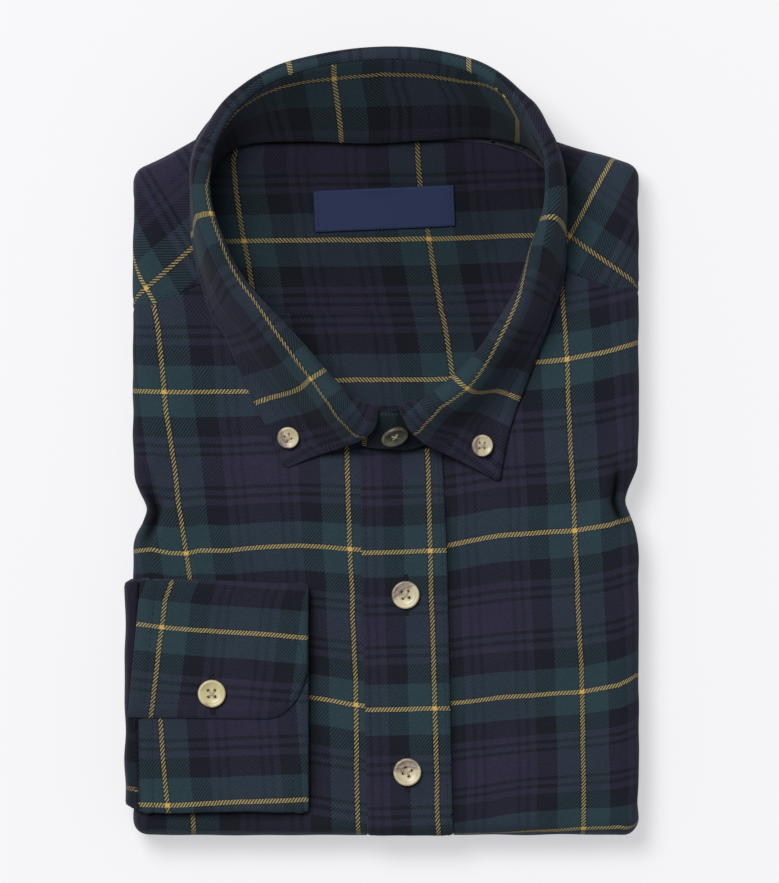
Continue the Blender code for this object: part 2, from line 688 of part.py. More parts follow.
# ---- Sleeve and cuff -------------------------------------------------------------------------------
def sleeve_right(collection, materials):
    """The right sleeve where it comes out of the stack and rounds the edge to the cuff."""
    low, high = SLEEVE_ENDS_Y
    rows = []
    for index in range(SLEEVE_ROWS):
        y = blend(high, low, index / (SLEEVE_ROWS - 1))
        rows.append([Vector((LEFT_X - out, y, z)) for out, z in SLEEVE_SECTION])
    cloth_wall("sleeve_right", rows, SLEEVE, collection, materials["cloth"])


def cuff_path():
    """The cuff's outer face along its length, as (y, z): flap edge, over the top fold, underneath,
    over the bottom fold and back up under the flap."""
    layer = FACED + SEAM_GAP
    level = [CUFF_BASE_Z + FACED + layer * step for step in range(3)]
    half_top = (level[2] - CUFF_BASE_Z) / 2.0
    half_low = (level[1] - CUFF_BASE_Z) / 2.0
    path = [(blend(FLAP_EDGE_Y, CUFF_TOP_Y, share), level[2]) for share in FLAP_ROWS]
    centre = CUFF_TOP_Y - half_top
    path += [(centre + half_top * math.sin(math.radians(a)),
              CUFF_BASE_Z + half_top + half_top * math.cos(math.radians(a)))
             for a in range(0, 181, 30)]
    path += [(blend(CUFF_TOP_Y, CUFF_BOTTOM_Y, share), CUFF_BASE_Z) for share in (0.35, 0.7)]
    centre = CUFF_BOTTOM_Y + half_low
    path += [(centre - half_low * math.sin(math.radians(a)),
              CUFF_BASE_Z + half_low - half_low * math.cos(math.radians(a)))
             for a in range(0, 181, 30)]
    path += [(blend(CUFF_BOTTOM_Y, CUFF_LAP_Y, share), level[1]) for share in (0.4, 0.7, 1.0)]
    return path


def cuff_right(collection, materials):
    """The right cuff, buttoned: one strip wound flat, its flap end on top with a rounded corner."""
    rows = []
    path = cuff_path()
    for y, z in path:
        on_flap = z > CUFF_BASE_Z + 2.5 * FACED
        ends = CUFF_LEFT_FLAP if on_flap else CUFF_LEFT_UNDER
        down = (CUFF_TOP_Y - y) / (CUFF_TOP_Y - CUFF_BOTTOM_Y)
        left = blend(ends[0], ends[1], min(1.0, down * (FLAP_SPLAY if on_flap else 1.0)))
        row = []
        for index in range(CUFF_COLUMNS + 1):
            across = index / CUFF_COLUMNS
            x = blend(left, CUFF_RIGHT_X, across)
            shift = -CUFF_SLANT * across * (1.0 - down)
            corner = max(0.0, x - (CUFF_RIGHT_X - FLAP_CORNER)) / FLAP_CORNER
            if on_flap:
                rounding = (1.0 - math.sqrt(max(0.0, 1.0 - min(corner, 0.98) ** 2))) * FLAP_CORNER
                start, end = FLAP_CORNER_Y
                shift += rounding * ease((y - start) / (end - start))
            row.append(Vector((x, y + shift, z)))
        rows.append(list(reversed(row)))
    cloth_wall("cuff_right", rows, FACED, collection, materials["cloth"])


# ---- Buttons ---------------------------------------------------------------------------------------
def button_mesh(diameter):
    """A four-hole button: a turned dish with a rim, its holes cut through."""
    radius = diameter / 2.0
    # distance from the middle, height above the back
    profile = (
        (0.0, 0.62), (0.56, 0.62), (0.74, 1.0), (0.92, 0.94), (1.0, 0.6), (0.78, 0.0), (0.0, 0.0),
    )
    bm = bmesh.new()
    rings = []
    for share, height in profile:
        count = 1 if share == 0.0 else BUTTON_SIDES
        ring = []
        for index in range(count):
            angle = 2.0 * math.pi * index / BUTTON_SIDES
            point = (share * radius * math.cos(angle), share * radius * math.sin(angle),
                     height * BUTTON_THICK)
            ring.append(bm.verts.new(Vector(point) * MM))
        rings.append(ring)
    for upper, lower in zip(rings, rings[1:]):
        for index in range(BUTTON_SIDES):
            following = (index + 1) % BUTTON_SIDES
            if len(upper) == 1:
                bm.faces.new((upper[0], lower[index], lower[following]))
            elif len(lower) == 1:
                bm.faces.new((upper[following], upper[index], lower[0]))
            else:
                bm.faces.new((upper[following], upper[index], lower[index], lower[following]))
    bmesh.ops.recalc_face_normals(bm, faces=bm.faces)
    mesh = bpy.data.meshes.new("button")
    bm.to_mesh(mesh)
    bm.free()
    return mesh


def hole_cutter(name, diameter, collection):
    """Four pegs that cut a button's holes."""
    bm = bmesh.new()
    offset = diameter * BUTTON_HOLE_OFFSET
    for side in (-1, 1):
        for end in (-1, 1):
            made = bmesh.ops.create_cone(bm, cap_ends=True, segments=6,
                                         radius1=diameter * BUTTON_HOLE_SIZE / 2.0 * MM,
                                         radius2=diameter * BUTTON_HOLE_SIZE / 2.0 * MM,
                                         depth=BUTTON_THICK * 3.0 * MM)
            shift = Vector((side * offset, end * offset, BUTTON_THICK / 2.0)) * MM
            bmesh.ops.translate(bm, verts=made["verts"], vec=shift)
    mesh = bpy.data.meshes.new(name)
    bm.to_mesh(mesh)
    bm.free()
    cutter = bpy.data.objects.new(name, mesh)
    cutter.hide_render = True
    cutter.display_type = "WIRE"
    collection.objects.link(cutter)
    return cutter


def buttons(collection, cutters, materials):
    for name, x, y, z, diameter, forward, aside, turn in BUTTONS:
        button = add_object(name, button_mesh(diameter), collection, materials["horn"])
        cutter = hole_cutter("holes_" + name, diameter, cutters)
        for obj in (button, cutter):
            obj.location = Vector((x, y, z)) * MM
            obj.rotation_mode = "XYZ"
            obj.rotation_euler = [math.radians(angle) for angle in (forward, aside, turn)]
        cut = button.modifiers.new("holes", "BOOLEAN")
        cut.operation = "DIFFERENCE"
        cut.solver = "EXACT"
        cut.object = cutter


# ---- The shirt -------------------------------------------------------------------------------------
def main():
    clear_scene()
    shirt = make_collection("dress_shirt")
    cutters = make_collection("cutters")
    materials = {
        "cloth": make_material("brushed_tartan", NAVY, 0.9),
        "hidden": make_material("hidden_layers", DARK, 0.9),
        "label": make_material("label_satin", LABEL_NAVY, 0.6),
        "horn": make_material("horn", HORN, 0.35),
    }
    folded_layers(shirt, materials["hidden"])
    body_pieces(shirt, materials)
    inside_pieces(shirt, materials)
    neck_label(shirt, materials)
    front_placket(shirt, materials)
    collar_stand(shirt, materials)
    collar_leaf(shirt, materials)
    sleeve_right(shirt, materials)
    cuff_right(shirt, materials)
    buttons(shirt, cutters, materials)


main()
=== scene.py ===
"""Looks for a folded flannel dress shirt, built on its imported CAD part.

Sizes below are millimetres; MM turns them into Blender's metres. The frame is +Z up, +Y towards the
collar and +X towards the wearer's left, with the origin under the middle of the folded shirt.

Every cloth piece is a grid of points, made with the rulings and sections of its solid, only finer. The
grid is pushed in and out by creases, seams and soft waves, then given its thickness as a closed shell.
Its UV map holds the tartan's own coordinates, in setts: U counts the warp's yellow lines, V the weft's.
"""

import math

import bpy
import numpy as np
from mathutils import Matrix, Vector


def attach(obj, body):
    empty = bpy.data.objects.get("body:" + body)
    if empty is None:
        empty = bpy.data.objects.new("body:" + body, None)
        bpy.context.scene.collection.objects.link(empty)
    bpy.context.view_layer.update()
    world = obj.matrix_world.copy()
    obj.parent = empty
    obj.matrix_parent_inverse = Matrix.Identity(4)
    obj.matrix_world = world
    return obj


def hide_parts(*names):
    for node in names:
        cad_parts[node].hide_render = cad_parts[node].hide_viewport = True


MM = 0.001

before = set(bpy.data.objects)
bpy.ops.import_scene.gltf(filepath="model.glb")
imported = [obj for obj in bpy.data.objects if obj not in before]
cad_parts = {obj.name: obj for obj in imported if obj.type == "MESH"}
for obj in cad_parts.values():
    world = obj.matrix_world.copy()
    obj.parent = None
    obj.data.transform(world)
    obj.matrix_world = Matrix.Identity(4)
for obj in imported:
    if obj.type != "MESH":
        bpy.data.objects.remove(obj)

# ---- Cloth ----
CLOTH = 0.9            # one layer of brushed flannel, as it shows
FACED = 1.7            # two layers with interlining: collar, stand, cuff
SEAM_GAP = 0.3         # air between pieces that meet
INSIDE_GAP = 0.8       # from the fronts down to the back seen through the neck
MESH_STEP = 1.5        # spacing of the grids' points

# ---- The folded outline ----
LEFT_X = -102.1
RIGHT_X = 105.4
BOTTOM_Y = -161.7
NECK_BACK_Y = 141.0
TOP_Z = 25.0           # top of the stack in the middle
CLOTH_UNDER = 1.2      # the solid's thickness of cloth, down to the inside of the back
# corner, x, y, radius; going round with the shirt on the left hand
CORNERS = (
    ("bottom left", LEFT_X, BOTTOM_Y, 6.6),
    ("bottom right", RIGHT_X, BOTTOM_Y, 6.6),
    ("left shoulder", RIGHT_X, 112.8, 7.0),
    ("neck, wearer's left", 13.6, NECK_BACK_Y, 10.0),
    ("neck, wearer's right", -40.0, NECK_BACK_Y, 10.0),
    ("right shoulder", LEFT_X, 110.6, 7.0),
)
PLACES = 2 * len(CORNERS)      # once round: even numbers start a corner, odd ones a straight run
BOTTOM_RUN, LEFT_RUN, RIGHT_RUN = 1, 11, 3     # place numbers of three straight runs
SQUEEZE = 0.6          # share of the way to the neck seam that a fold may take up
GROOVE_FADE = 24.0     # the groove between the folds closes over this distance before a corner
# how far each side is pinched in at a given y
PINCH = (
    # y, wearer's right side, wearer's left side
    (-50.0, 0.0, 0.0),
    (-42.6, 0.0, 0.3),
    (-38.0, 1.4, 1.0),
    (-34.0, 3.8, 2.2),
    (-28.3, 5.7, 4.4),
    (-25.0, 4.8, 5.4),
    (-21.5, 3.0, 4.7),
    (-16.0, 1.0, 2.6),
    (-9.8, 0.2, 0.5),
    (0.0, 0.0, 0.0),
)
PINCH_REACH = 30.0     # a pinch fades out over this distance from the edge

# one section of the folded edge, from the underside to the flat top: the two long sides show two
# folded layers with a groove between them, the bottom and top edges are one round fold
RIM_PROFILE = (
    # side inset, side z, bottom inset, bottom z
    (16.0, 0.0, 16.0, 0.0),
    (8.0, 0.0, 9.0, 0.0),
    (3.6, 1.0, 4.6, 1.3),
    (1.6, 3.4, 1.8, 4.2),
    (1.2, 6.3, 0.4, 8.2),
    (2.6, 8.9, 0.0, 11.6),
    (5.2, 10.2, 0.0, 12.6),
    (5.2, 11.2, 0.1, 13.6),
    (2.6, 12.4, 0.3, 15.4),
    (0.4, 15.0, 0.5, 17.8),
    (0.0, 17.8, 0.9, 20.4),
    (1.0, 21.0, 1.9, 23.0),
    (3.4, 23.9, 4.1, 24.5),
    (8.0, 25.0, 8.4, 25.0),
)
UPPER_FOLD_Z = 11.0    # above this a section leans with the height of the stack

# ---- The neck ----
NECK_X, NECK_Y = -2.0, 88.0
# the neck seam round that middle point: bearing in degrees from +X, distance
NECK_SEAM = (
    # bearing, distance
    (0.0, 72.4), (16.0, 72.0), (28.0, 65.5), (36.0, 57.5), (47.0, 47.5), (63.0, 38.5), (88.0, 34.2),
    (114.0, 37.8), (132.0, 47.0), (144.0, 58.7), (156.0, 69.7), (176.0, 72.2), (199.0, 69.8),
    (222.0, 69.0), (246.0, 76.5), (261.0, 87.0), (268.0, 89.3), (281.0, 91.5), (287.0, 90.0),
    (306.0, 80.3), (329.0, 73.0),
)
BACK_DROP = 3.0        # the stack is thinner at the shoulders and the back of the neck
BACK_DROP_Y = (88.0, 120.0)
DISH_DEPTH = 6.5       # how far the inside of the back sinks below the fronts
DISH_RUN = 24.0        # measured in from the seam
DISH_FRONT_Y = (-5.0, 45.0)    # the dish fades in from the front to the back over these y
DISH_BACK_Y = (124.0, 84.0)
UNDERLAP = 1.5         # the inside of the back runs this far under the neck seam
INSIDE_SEAM_Y = 52.5   # seam between the inner yoke and the back
SHOULDER_SEAM_Y = (55.8, 62.7)     # at the edge of the wearer's right side and left side

# ---- The collar ----
# sections from the wearer's right front, round the back, to the left front. The stand rises from the
# seam to its top; the leaf goes on from there, rolls over and falls to its edge. Lie is the way it
# runs in to that edge, back towards the neck and up
COLLAR_SECTIONS = (
    # seam x, seam y, seam z, top x, top y, top z, edge x, edge y, edge z, lie in, lie up
    (-6.0, -0.2, 26.4, -2.5, 12.6, 38.6, -39.8, -11.5, 27.5, 24.0, 1.2),
    (-22.5, 7.0, 26.2, -14.0, 17.5, 42.0, -47.0, 4.5, 27.5, 19.0, 1.5),
    (-36.5, 21.0, 25.8, -27.0, 31.5, 44.0, -55.0, 21.0, 27.5, 13.0, 4.0),
    (-49.5, 37.5, 25.8, -41.0, 48.0, 46.0, -63.5, 39.0, 27.5, 7.0, 8.0),
    (-62.5, 56.0, 25.8, -55.5, 64.0, 47.5, -71.0, 52.5, 27.5, 4.0, 10.0),
    (-69.5, 71.0, 25.6, -64.5, 81.0, 48.5, -76.2, 73.0, 27.4, 2.0, 12.0),
    (-72.5, 90.0, 25.3, -69.5, 97.5, 49.0, -78.7, 95.0, 27.3, 1.0, 12.0),
    (-71.0, 107.0, 25.2, -70.2, 113.0, 48.5, -77.4, 117.0, 25.5, 0.5, 12.0),
    (-64.0, 117.5, 24.6, -65.3, 125.6, 47.0, -73.9, 127.2, 22.5, 0.5, 12.0),
    (-53.0, 121.8, 24.3, -55.7, 138.4, 45.5, -62.7, 139.8, 4.0, 0.0, 18.0),
    (-34.0, 122.9, 24.2, -37.0, 149.4, 43.0, -40.4, 153.0, 1.4, 0.0, 20.0),
    (-2.0, 122.2, 24.2, 1.0, 155.8, 42.0, 1.4, 160.2, 1.2, 0.0, 20.0),
    (32.0, 124.2, 24.2, 35.5, 150.6, 43.0, 38.2, 154.6, 1.4, 0.0, 20.0),
    (49.0, 123.4, 24.3, 53.0, 137.9, 45.5, 59.6, 141.2, 8.0, 0.0, 18.0),
    (60.5, 119.5, 24.6, 60.6, 126.7, 47.0, 67.9, 128.9, 24.5, 0.5, 12.0),
    (67.0, 111.0, 25.2, 65.9, 114.8, 48.5, 72.8, 117.8, 25.5, 0.5, 12.0),
    (70.8, 95.0, 25.3, 66.8, 98.0, 49.0, 75.6, 96.0, 27.3, 1.0, 12.0),
    (68.0, 72.0, 25.6, 61.5, 80.0, 48.5, 75.0, 70.0, 27.4, 2.0, 12.0),
    (62.5, 54.5, 25.8, 54.5, 60.0, 47.5, 71.0, 52.0, 27.5, 4.0, 10.0),
    (54.5, 38.5, 25.8, 46.0, 45.5, 46.0, 65.0, 37.0, 27.5, 7.0, 8.0),
    (42.5, 20.5, 26.0, 34.5, 30.0, 44.0, 58.5, 21.5, 27.5, 13.0, 4.0),
    (28.5, 6.0, 27.4, 21.5, 18.5, 42.0, 52.0, 3.5, 27.5, 20.0, 1.5),
    (14.0, -1.9, 28.9, 8.0, 12.2, 41.4, 48.2, -17.0, 27.5, 26.0, 1.2),
)
ROLL_BACK = 3.2            # radius of the leaf's outer face where it turns over
ROLL_FRONT = 4.6
LEAF_GAP = 0.6             # from the stand's top to the leaf
# the stand runs on past the leaf at both fronts, the wearer's left end over the right one
LEFT_TAB = (
    # seam x, seam y, seam z, top x, top y, top z
    (3.0, -2.2, 29.2, 2.0, 11.8, 42.0),
    (-4.5, -1.8, 29.4, -3.0, 11.4, 42.4),
    (-8.6, -0.4, 30.2, -7.0, 8.6, 40.0),
)
RIGHT_TAB = (
    (4.0, 0.4, 25.8, 5.0, 13.2, 37.0),
    (13.0, 1.6, 25.8, 12.0, 15.2, 37.0),
)

# ---- Placket, cuff, sleeve, label ----
PLACKET_EDGES = (
    # y, free edge x, sewn edge x
    (-3.4, -8.4, 24.6),
    (-50.0, -8.2, 26.6),
    (-110.0, -6.6, 27.9),
    (-170.0, -5.6, 29.2),
)
PLACKET = 1.6          # thickness of the strip
PLACKET_END_Y = -3.4
PRESS_HALF = 17.8      # half width of the dent that the strip makes round the bottom fold
PRESS_FADE = 0.35      # width of the dent's sides
PRESS_DEPTH = PLACKET + SEAM_GAP + 0.1
PRESS_LOW_Z = 6.0      # the dent deepens from the floor up to here
PRESS_TOP_Z = 24.0     # and runs out from PRESS_RUN below this height up to it
PRESS_RUN = 8.0
FRONT_UNDERLAP_X = 6.0     # the wearer's right front runs this far under the placket
FRONT_LEFT_START_X = 20.0

CUFF_RIGHT_X = -30.3
CUFF_TOP_Y = -56.4
CUFF_BOTTOM_Y = -152.2
CUFF_SLANT = 1.9           # the fold at the top sits lower on the right
FLAP_EDGE_Y = -113.2
FLAP_CORNER = (17.5, 25.0)     # the flap's rounded corner: across and up
FLAP_CORNER_Y = (-61.0, -112.4)    # the corner's rounding grows over these y, from the fold down
FLAP_SPLAY = 1.7           # the flap widens to its full slant this much faster than the cuff
CUFF_LAP_Y = -86.0         # the hidden end of the cuff, under the flap
CUFF_BASE_Z = 25.5
# left end of each layer of the cuff at its top and bottom: x
CUFF_LEFT_FLAP = (-98.6, -104.0)
CUFF_LEFT_UNDER = (-100.6, -99.6)

SLEEVE = 2.6               # a sleeve pressed flat: two layers
SLEEVE_SECTION = (
    # outwards from the left edge, z
    (3.0, 9.6), (3.3, 12.5), (3.3, 16.0), (3.3, 20.0), (2.9, 23.9), (2.1, 26.8), (0.9, 28.3),
    (-0.2, 28.9), (-0.9, 29.2),
)
SLEEVE_ENDS_Y = (-150.6, -56.8)
SLEEVE_CORNER = 3.0        # its folded ends are rounded off
SLEEVE_SHADE = 0.5         # how much less light falls on it

LABEL_CENTRE = (1.0, 95.3)
LABEL_WIDTH, LABEL_DEPTH = 57.0, 16.4
LABEL_TURN = 2.5           # degrees
LABEL = 0.8

# ---- Buttons ----
BUTTON_LARGE = 11.4        # 18 line
BUTTON_SMALL = 8.9         # 14 line
BUTTON_THICK = 2.4
BUTTON_HOLE_OFFSET = 0.106     # from the middle to a hole along both axes, share of the diameter
BUTTON_HOLE_SIZE = 0.11        # share of the diameter
BUTTONS = (
    # name, x, y, z of its back, diameter, lean forward, lean to the right, turn, in degrees
    ("button_front_1", 9.7, -63.1, 27.3, BUTTON_LARGE, 0.0, 0.0, 8.0),
    ("button_front_2", 10.4, -135.7, 27.3, BUTTON_LARGE, 0.0, 0.0, -25.0),
    ("button_cuff", -69.7, -103.5, 31.9, BUTTON_LARGE, 0.0, 0.0, 2.0),
    ("button_collar_right", -38.3, 1.6, 29.7, BUTTON_SMALL, 6.5, -9.5, 30.0),
    ("button_collar_left", 40.8, -1.8, 30.4, BUTTON_SMALL, 3.0, 13.0, 0.0),
    ("button_stand", 4.9, 2.7, 38.4, BUTTON_LARGE, 54.0, 0.0, 21.0),
)

# ---- The tartan ----
SETT = 67.0            # one repeat, yellow line to yellow line
WARP_YELLOW, WEFT_YELLOW = 0.027, 0.0235   # half widths of the yellow lines, shares of the half sett
GREEN_END, BLACK_END = 0.317, 0.567    # where green and black end, shares of the half sett
WALE = 1.27            # one diagonal of the 2/2 twill, measured along the weft
WALE_SLOPE = 0.75      # its spacing along the weft, as a share of that along the warp
# where the yellow lines and their repeats run on each piece, measured on the shirt. Warp lines are
# (y, x) pairs under their number, weft lines (x, y) pairs
FRONT_RIGHT_WARP = (
    (0, ((59.9, -94.3), (45.5, -91.8), (20.1, -89.4), (-3.7, -86.1), (-24.2, -83.6), (-45.9, -80.4),
         (-57.0, -78.7), (-161.1, -77.5))),
    (1, ((0.4, -14.3), (-24.2, -13.7), (-44.3, -13.1), (-81.6, -11.5), (-107.8, -10.7),
         (-161.1, -9.8))),
)
FRONT_RIGHT_WEFT = (
    (0, ((-102.1, 20.5), (-89.4, 20.1), (-54.9, 20.3))),
    (-1, ((-102.1, -45.1), (-94.3, -44.3), (-86.9, -45.9), (-80.4, -46.1), (-74.6, -44.7),
          (-64.4, -45.1), (-45.9, -43.5), (-33.6, -43.0), (-9.0, -44.7))),
    (-2, ((-102.1, -104.0), (-29.9, -105.0), (-13.1, -107.8), (-6.6, -108.6))),
)
FRONT_LEFT_WARP = (
    (1, ((61.9, 73.8), (45.5, 75.0), (33.6, 75.8), (12.7, 76.7), (-3.7, 77.5), (-24.2, 78.7),
         (-36.9, 79.1), (-65.2, 80.4), (-102.9, 82.0), (-139.0, 82.8), (-161.1, 82.4))),
)
FRONT_LEFT_WEFT = (
    (0, ((26.6, 29.0), (63.5, 32.4), (75.8, 33.6), (89.4, 36.1), (105.4, 40.2))),
    (-1, ((26.6, -43.0), (48.4, -38.9), (79.1, -36.9), (93.5, -34.4), (97.6, -32.8), (102.5, -32.0))),
    (-2, ((28.7, -107.4), (48.4, -105.4), (82.0, -102.9), (97.6, -100.0), (105.4, -96.3))),
    (-3, ((28.7, -166.4), (43.5, -164.2), (50.0, -162.6), (59.3, -161.2), (81.2, -159.6),
          (92.0, -159.7), (103.0, -158.7))),
)
PLACKET_WARP = (
    (0, ((-0.8, 18.4), (-24.2, 19.3), (-45.5, 19.7), (-81.6, 20.9), (-109.9, 21.7), (-139.0, 22.5),
         (-161.1, 23.0))),
)
PLACKET_WEFT = (
    (-1, ((-8.6, -45.9), (25.4, -44.7))),
    (-2, ((-6.6, -110.3), (27.9, -109.5))),
)
FLAP_WARP = ((0, ((-57.8, -86.1), (-65.2, -89.0), (-76.3, -90.2), (-93.9, -92.2), (-111.5, -94.7))),)
FLAP_WEFT = ((0, ((-101.7, -74.8), (-90.2, -76.3), (-74.6, -77.5), (-32.4, -80.4))),)
CUFF_WARP = ((0, ((-113.6, -91.0), (-139.0, -89.0), (-152.1, -87.7))),)
CUFF_WEFT = ((-1, ((-99.6, -148.8), (-89.0, -149.2), (-31.6, -147.2))),)
SLEEVE_WARP = ((0, ((-58.0, -70.0), (-152.1, -70.0))),)
SLEEVE_WEFT = (
    (-1, ((-105.4, -142.7), (-100.0, -146.8))),
    (-0.66, ((-105.4, -119.0), (-100.0, -122.0))),
    (-0.5, ((-105.4, -56.0), (-100.0, -56.0))),
)
YOKE_INSIDE_WARP = (
    (0, ((120.1, -59.9), (115.2, -61.1), (102.9, -59.9), (82.4, -56.6), (61.1, -52.9))),
    (1, ((123.0, 14.3), (104.1, 16.0), (87.3, 18.4), (82.4, 19.3), (66.0, 22.1), (53.7, 24.6))),
)
YOKE_INSIDE_WEFT = ((0, ((-66.8, 82.0), (-33.6, 82.4), (19.7, 82.8), (62.3, 84.5))),)
BACK_INSIDE_WARP = (
    (0, ((53.7, -49.5), (23.0, -45.0))),
    (1, ((53.7, 24.6), (39.4, 27.1), (23.0, 29.1))),
)
BACK_INSIDE_WEFT = ((-1, ((-20.1, 25.0), (32.8, 25.4))),)
# the outer yoke's halves are turned: the point where two yellow lines cross at each shoulder and the
# way both lines run, in degrees from +X
YOKE_CROSSINGS = (
    # x, y, run of the warp line, run of the weft line
    (-96.8, 62.7, 41.0, -58.5),
    (77.0, 84.2, 144.5, 61.0),
)


# ---- Numbers ----
def blend(a, b, share):
    return a + (b - a) * share


def ease(share):
    """A smooth step from 0 to 1."""
    share = np.clip(share, 0.0, 1.0)
    return share * share * (3.0 - 2.0 * share)


def look_up(table, key, column):
    """Value of a column where the first column reaches key, straight between rows."""
    rows = sorted(table)
    return float(np.interp(key, [row[0] for row in rows], [row[column] for row in rows]))


def curve(a, b, slope_in, slope_out, share):
    """A smooth curve from a to b, with a given slope at both ends."""
    return a + share * (slope_in + share * (3.0 * (b - a) - 2.0 * slope_in - slope_out
                        + share * (2.0 * (a - b) + slope_in + slope_out)))


def smooth_rows(table, position):
    """A row between the rows of a table, on a smooth curve through them (position 0 to 1)."""
    spot = position * (len(table) - 1)
    index = min(int(spot), len(table) - 2)
    share = spot - index
    last = len(table) - 1
    before, start, end, after = (table[max(0, min(last, index + step))] for step in (-1, 0, 1, 2))
    return [curve(b, c, (c - a) / 2.0, (d - b) / 2.0, share)
            for a, b, c, d in zip(before, start, end, after)]


def smooth_look_up(table, key, column):
    """Value of a column on a smooth curve through the table's rows."""
    rows = sorted(table)
    if not rows[0][0] < key < rows[-1][0]:
        return rows[0][column] if key <= rows[0][0] else rows[-1][column]
    index = max(i for i in range(len(rows) - 1) if rows[i][0] <= key)
    position = (index + (key - rows[index][0]) / (rows[index + 1][0] - rows[index][0]))
    return smooth_rows(rows, position / (len(rows) - 1))[column]


# ---- The outline and its rulings ----
def inward_normal(run):
    """Unit normal, towards the shirt, of the straight run from corner to corner."""
    _, x0, y0, _ = CORNERS[run % len(CORNERS)]
    _, x1, y1, _ = CORNERS[(run + 1) % len(CORNERS)]
    along = Vector((x1 - x0, y1 - y0)).normalized()
    return Vector((-along.y, along.x))


def corner_arc(corner, inset):
    """Centre, radius, start normal and end normal of a rounded corner, moved in by inset."""
    _, x, y, radius = CORNERS[corner % len(CORNERS)]
    before = inward_normal(corner - 1)
    after = inward_normal(corner)
    to_centre = (before + after) / (1.0 + before.dot(after))
    radius = max(radius - inset, 0.6)
    return Vector((x, y)) + to_centre * (inset + radius), radius, before, after


def pinch(y, right_side):
    """How far a side is pinched in at y. The right side here is the one at +X."""
    return smooth_look_up(PINCH, y, 2 if right_side else 1)


def rim_point(place, inset):
    """Point of the outline, moved in by inset, in plan."""
    index = int(place) % PLACES
    share = place - int(place)
    corner = index // 2
    centre, radius, before, after = corner_arc(corner, inset)
    if index % 2 == 0:
        turn = Matrix.Rotation(-before.angle_signed(after) * share, 2)
        return centre - turn @ before * radius
    start = centre - after * radius
    centre, radius, before, _ = corner_arc(corner + 1, inset)
    point = start.lerp(centre - before * radius, share)
    if index in (LEFT_RUN, RIGHT_RUN):
        depth = pinch(point.y, index == RIGHT_RUN) * math.exp(-inset / PINCH_REACH)
        point.x += depth if index == LEFT_RUN else -depth
    return point


def place_at(run, x=None, y=None):
    """Place number on a straight run where the unpinched outline reaches x or y."""
    corner = run // 2
    centre, radius, _, after = corner_arc(corner, 0.0)
    start = centre - after * radius
    centre, radius, before, _ = corner_arc(corner + 1, 0.0)
    end = centre - before * radius
    if x is not None:
        return run + (x - start.x) / (end.x - start.x)
    return run + (y - start.y) / (end.y - start.y)


def placket_middle():
    """Middle of the placket, in x, where it rounds the bottom fold."""
    return (look_up(PLACKET_EDGES, BOTTOM_Y, 1) + look_up(PLACKET_EDGES, BOTTOM_Y, 2)) / 2.0


def press_places():
    """Places on the bottom edge where the placket's dent starts and ends."""
    middle = placket_middle()
    steps = (PRESS_HALF, PRESS_HALF - PRESS_FADE)
    return [place_at(BOTTOM_RUN, x=middle + side * step) for side in (-1, 1) for step in steps]


def places_between(start, end):
    """Section lines a mesh step apart from one place to another, with both ends."""
    whole = list(range(math.floor(start) + 1, math.ceil(end)))
    whole += [place + turn for place in press_places() for turn in (0, PLACES)]
    stops = [start] + sorted(place for place in whole if start < place < end) + [end]
    places = [start]
    for low, high in zip(stops, stops[1:]):
        length = (rim_point(high - 1e-6, 0.0) - rim_point(low + 1e-6, 0.0)).length
        count = max(2, math.ceil(length / MESH_STEP))
        places += [blend(low, high, (step + 1) / count) for step in range(count)]
    return places


def roundness(place):
    """1 where the edge is one round fold, 0 where a groove parts two folds, on the long sides."""
    if int(place) % PLACES not in (LEFT_RUN, RIGHT_RUN):
        return 1.0
    y = rim_point(place, 0.0).y
    from_bottom = y - BOTTOM_Y - CORNERS[0][3]
    from_top = min(CORNERS[2][2], CORNERS[5][2]) - CORNERS[2][3] - y
    return 1.0 - ease(min(from_bottom, from_top) / GROOVE_FADE)


def rim_section(place, depth, fineness=3):
    """The folded edge's section as (inset, z) pairs on a smooth curve, moved depth into the stack."""
    share = roundness(place)
    coarse = [(blend(a, c, share), blend(b, d, share)) for a, b, c, d in RIM_PROFILE]
    count = (len(coarse) - 1) * fineness
    section = [Vector(smooth_rows(coarse, index / count)) for index in range(count + 1)]
    moved = []
    for index, point in enumerate(section):
        before = (point - section[index - 1]).normalized() if index else Vector((-1.0, 0.0))
        last = index == len(section) - 1
        after = Vector((1.0, 0.0)) if last else (section[index + 1] - point).normalized()
        normal = Vector((before.y, -before.x)) + Vector((after.y, -after.x))
        normal /= max(0.5, normal.length_squared / 2.0)
        moved.append(point + normal * depth)
    return moved


def neck_distance(bearing):
    """Distance of the neck seam from the middle of the neck, on a smooth closed curve."""
    bearing %= 360.0
    rows = [(a - 360.0, r) for a, r in NECK_SEAM[-2:]] + list(NECK_SEAM)
    rows += [(a + 360.0, r) for a, r in NECK_SEAM[:3]]
    for index in range(1, len(rows) - 2):
        if rows[index][0] <= bearing <= rows[index + 1][0]:
            break
    (a0, r0), (a1, r1), (a2, r2), (a3, r3) = rows[index - 1:index + 3]
    share = (bearing - a1) / (a2 - a1)
    slope_in = (r2 - r0) / (a2 - a0) * (a2 - a1)
    slope_out = (r3 - r1) / (a3 - a1) * (a2 - a1)
    return curve(r1, r2, slope_in, slope_out, share)


def neck_point(bearing, offset=0.0):
    """Point of the neck seam; a positive offset lies outside the neck."""
    reach = neck_distance(bearing) + offset
    angle = math.radians(bearing)
    return Vector((NECK_X + reach * math.cos(angle), NECK_Y + reach * math.sin(angle)))


def bearing_of(point):
    return math.degrees(math.atan2(point.y - NECK_Y, point.x - NECK_X))


def inside_neck(point):
    """How far a point lies inside the neck seam; negative outside."""
    reach = math.hypot(point.x - NECK_X, point.y - NECK_Y)
    return neck_distance(bearing_of(point)) - reach


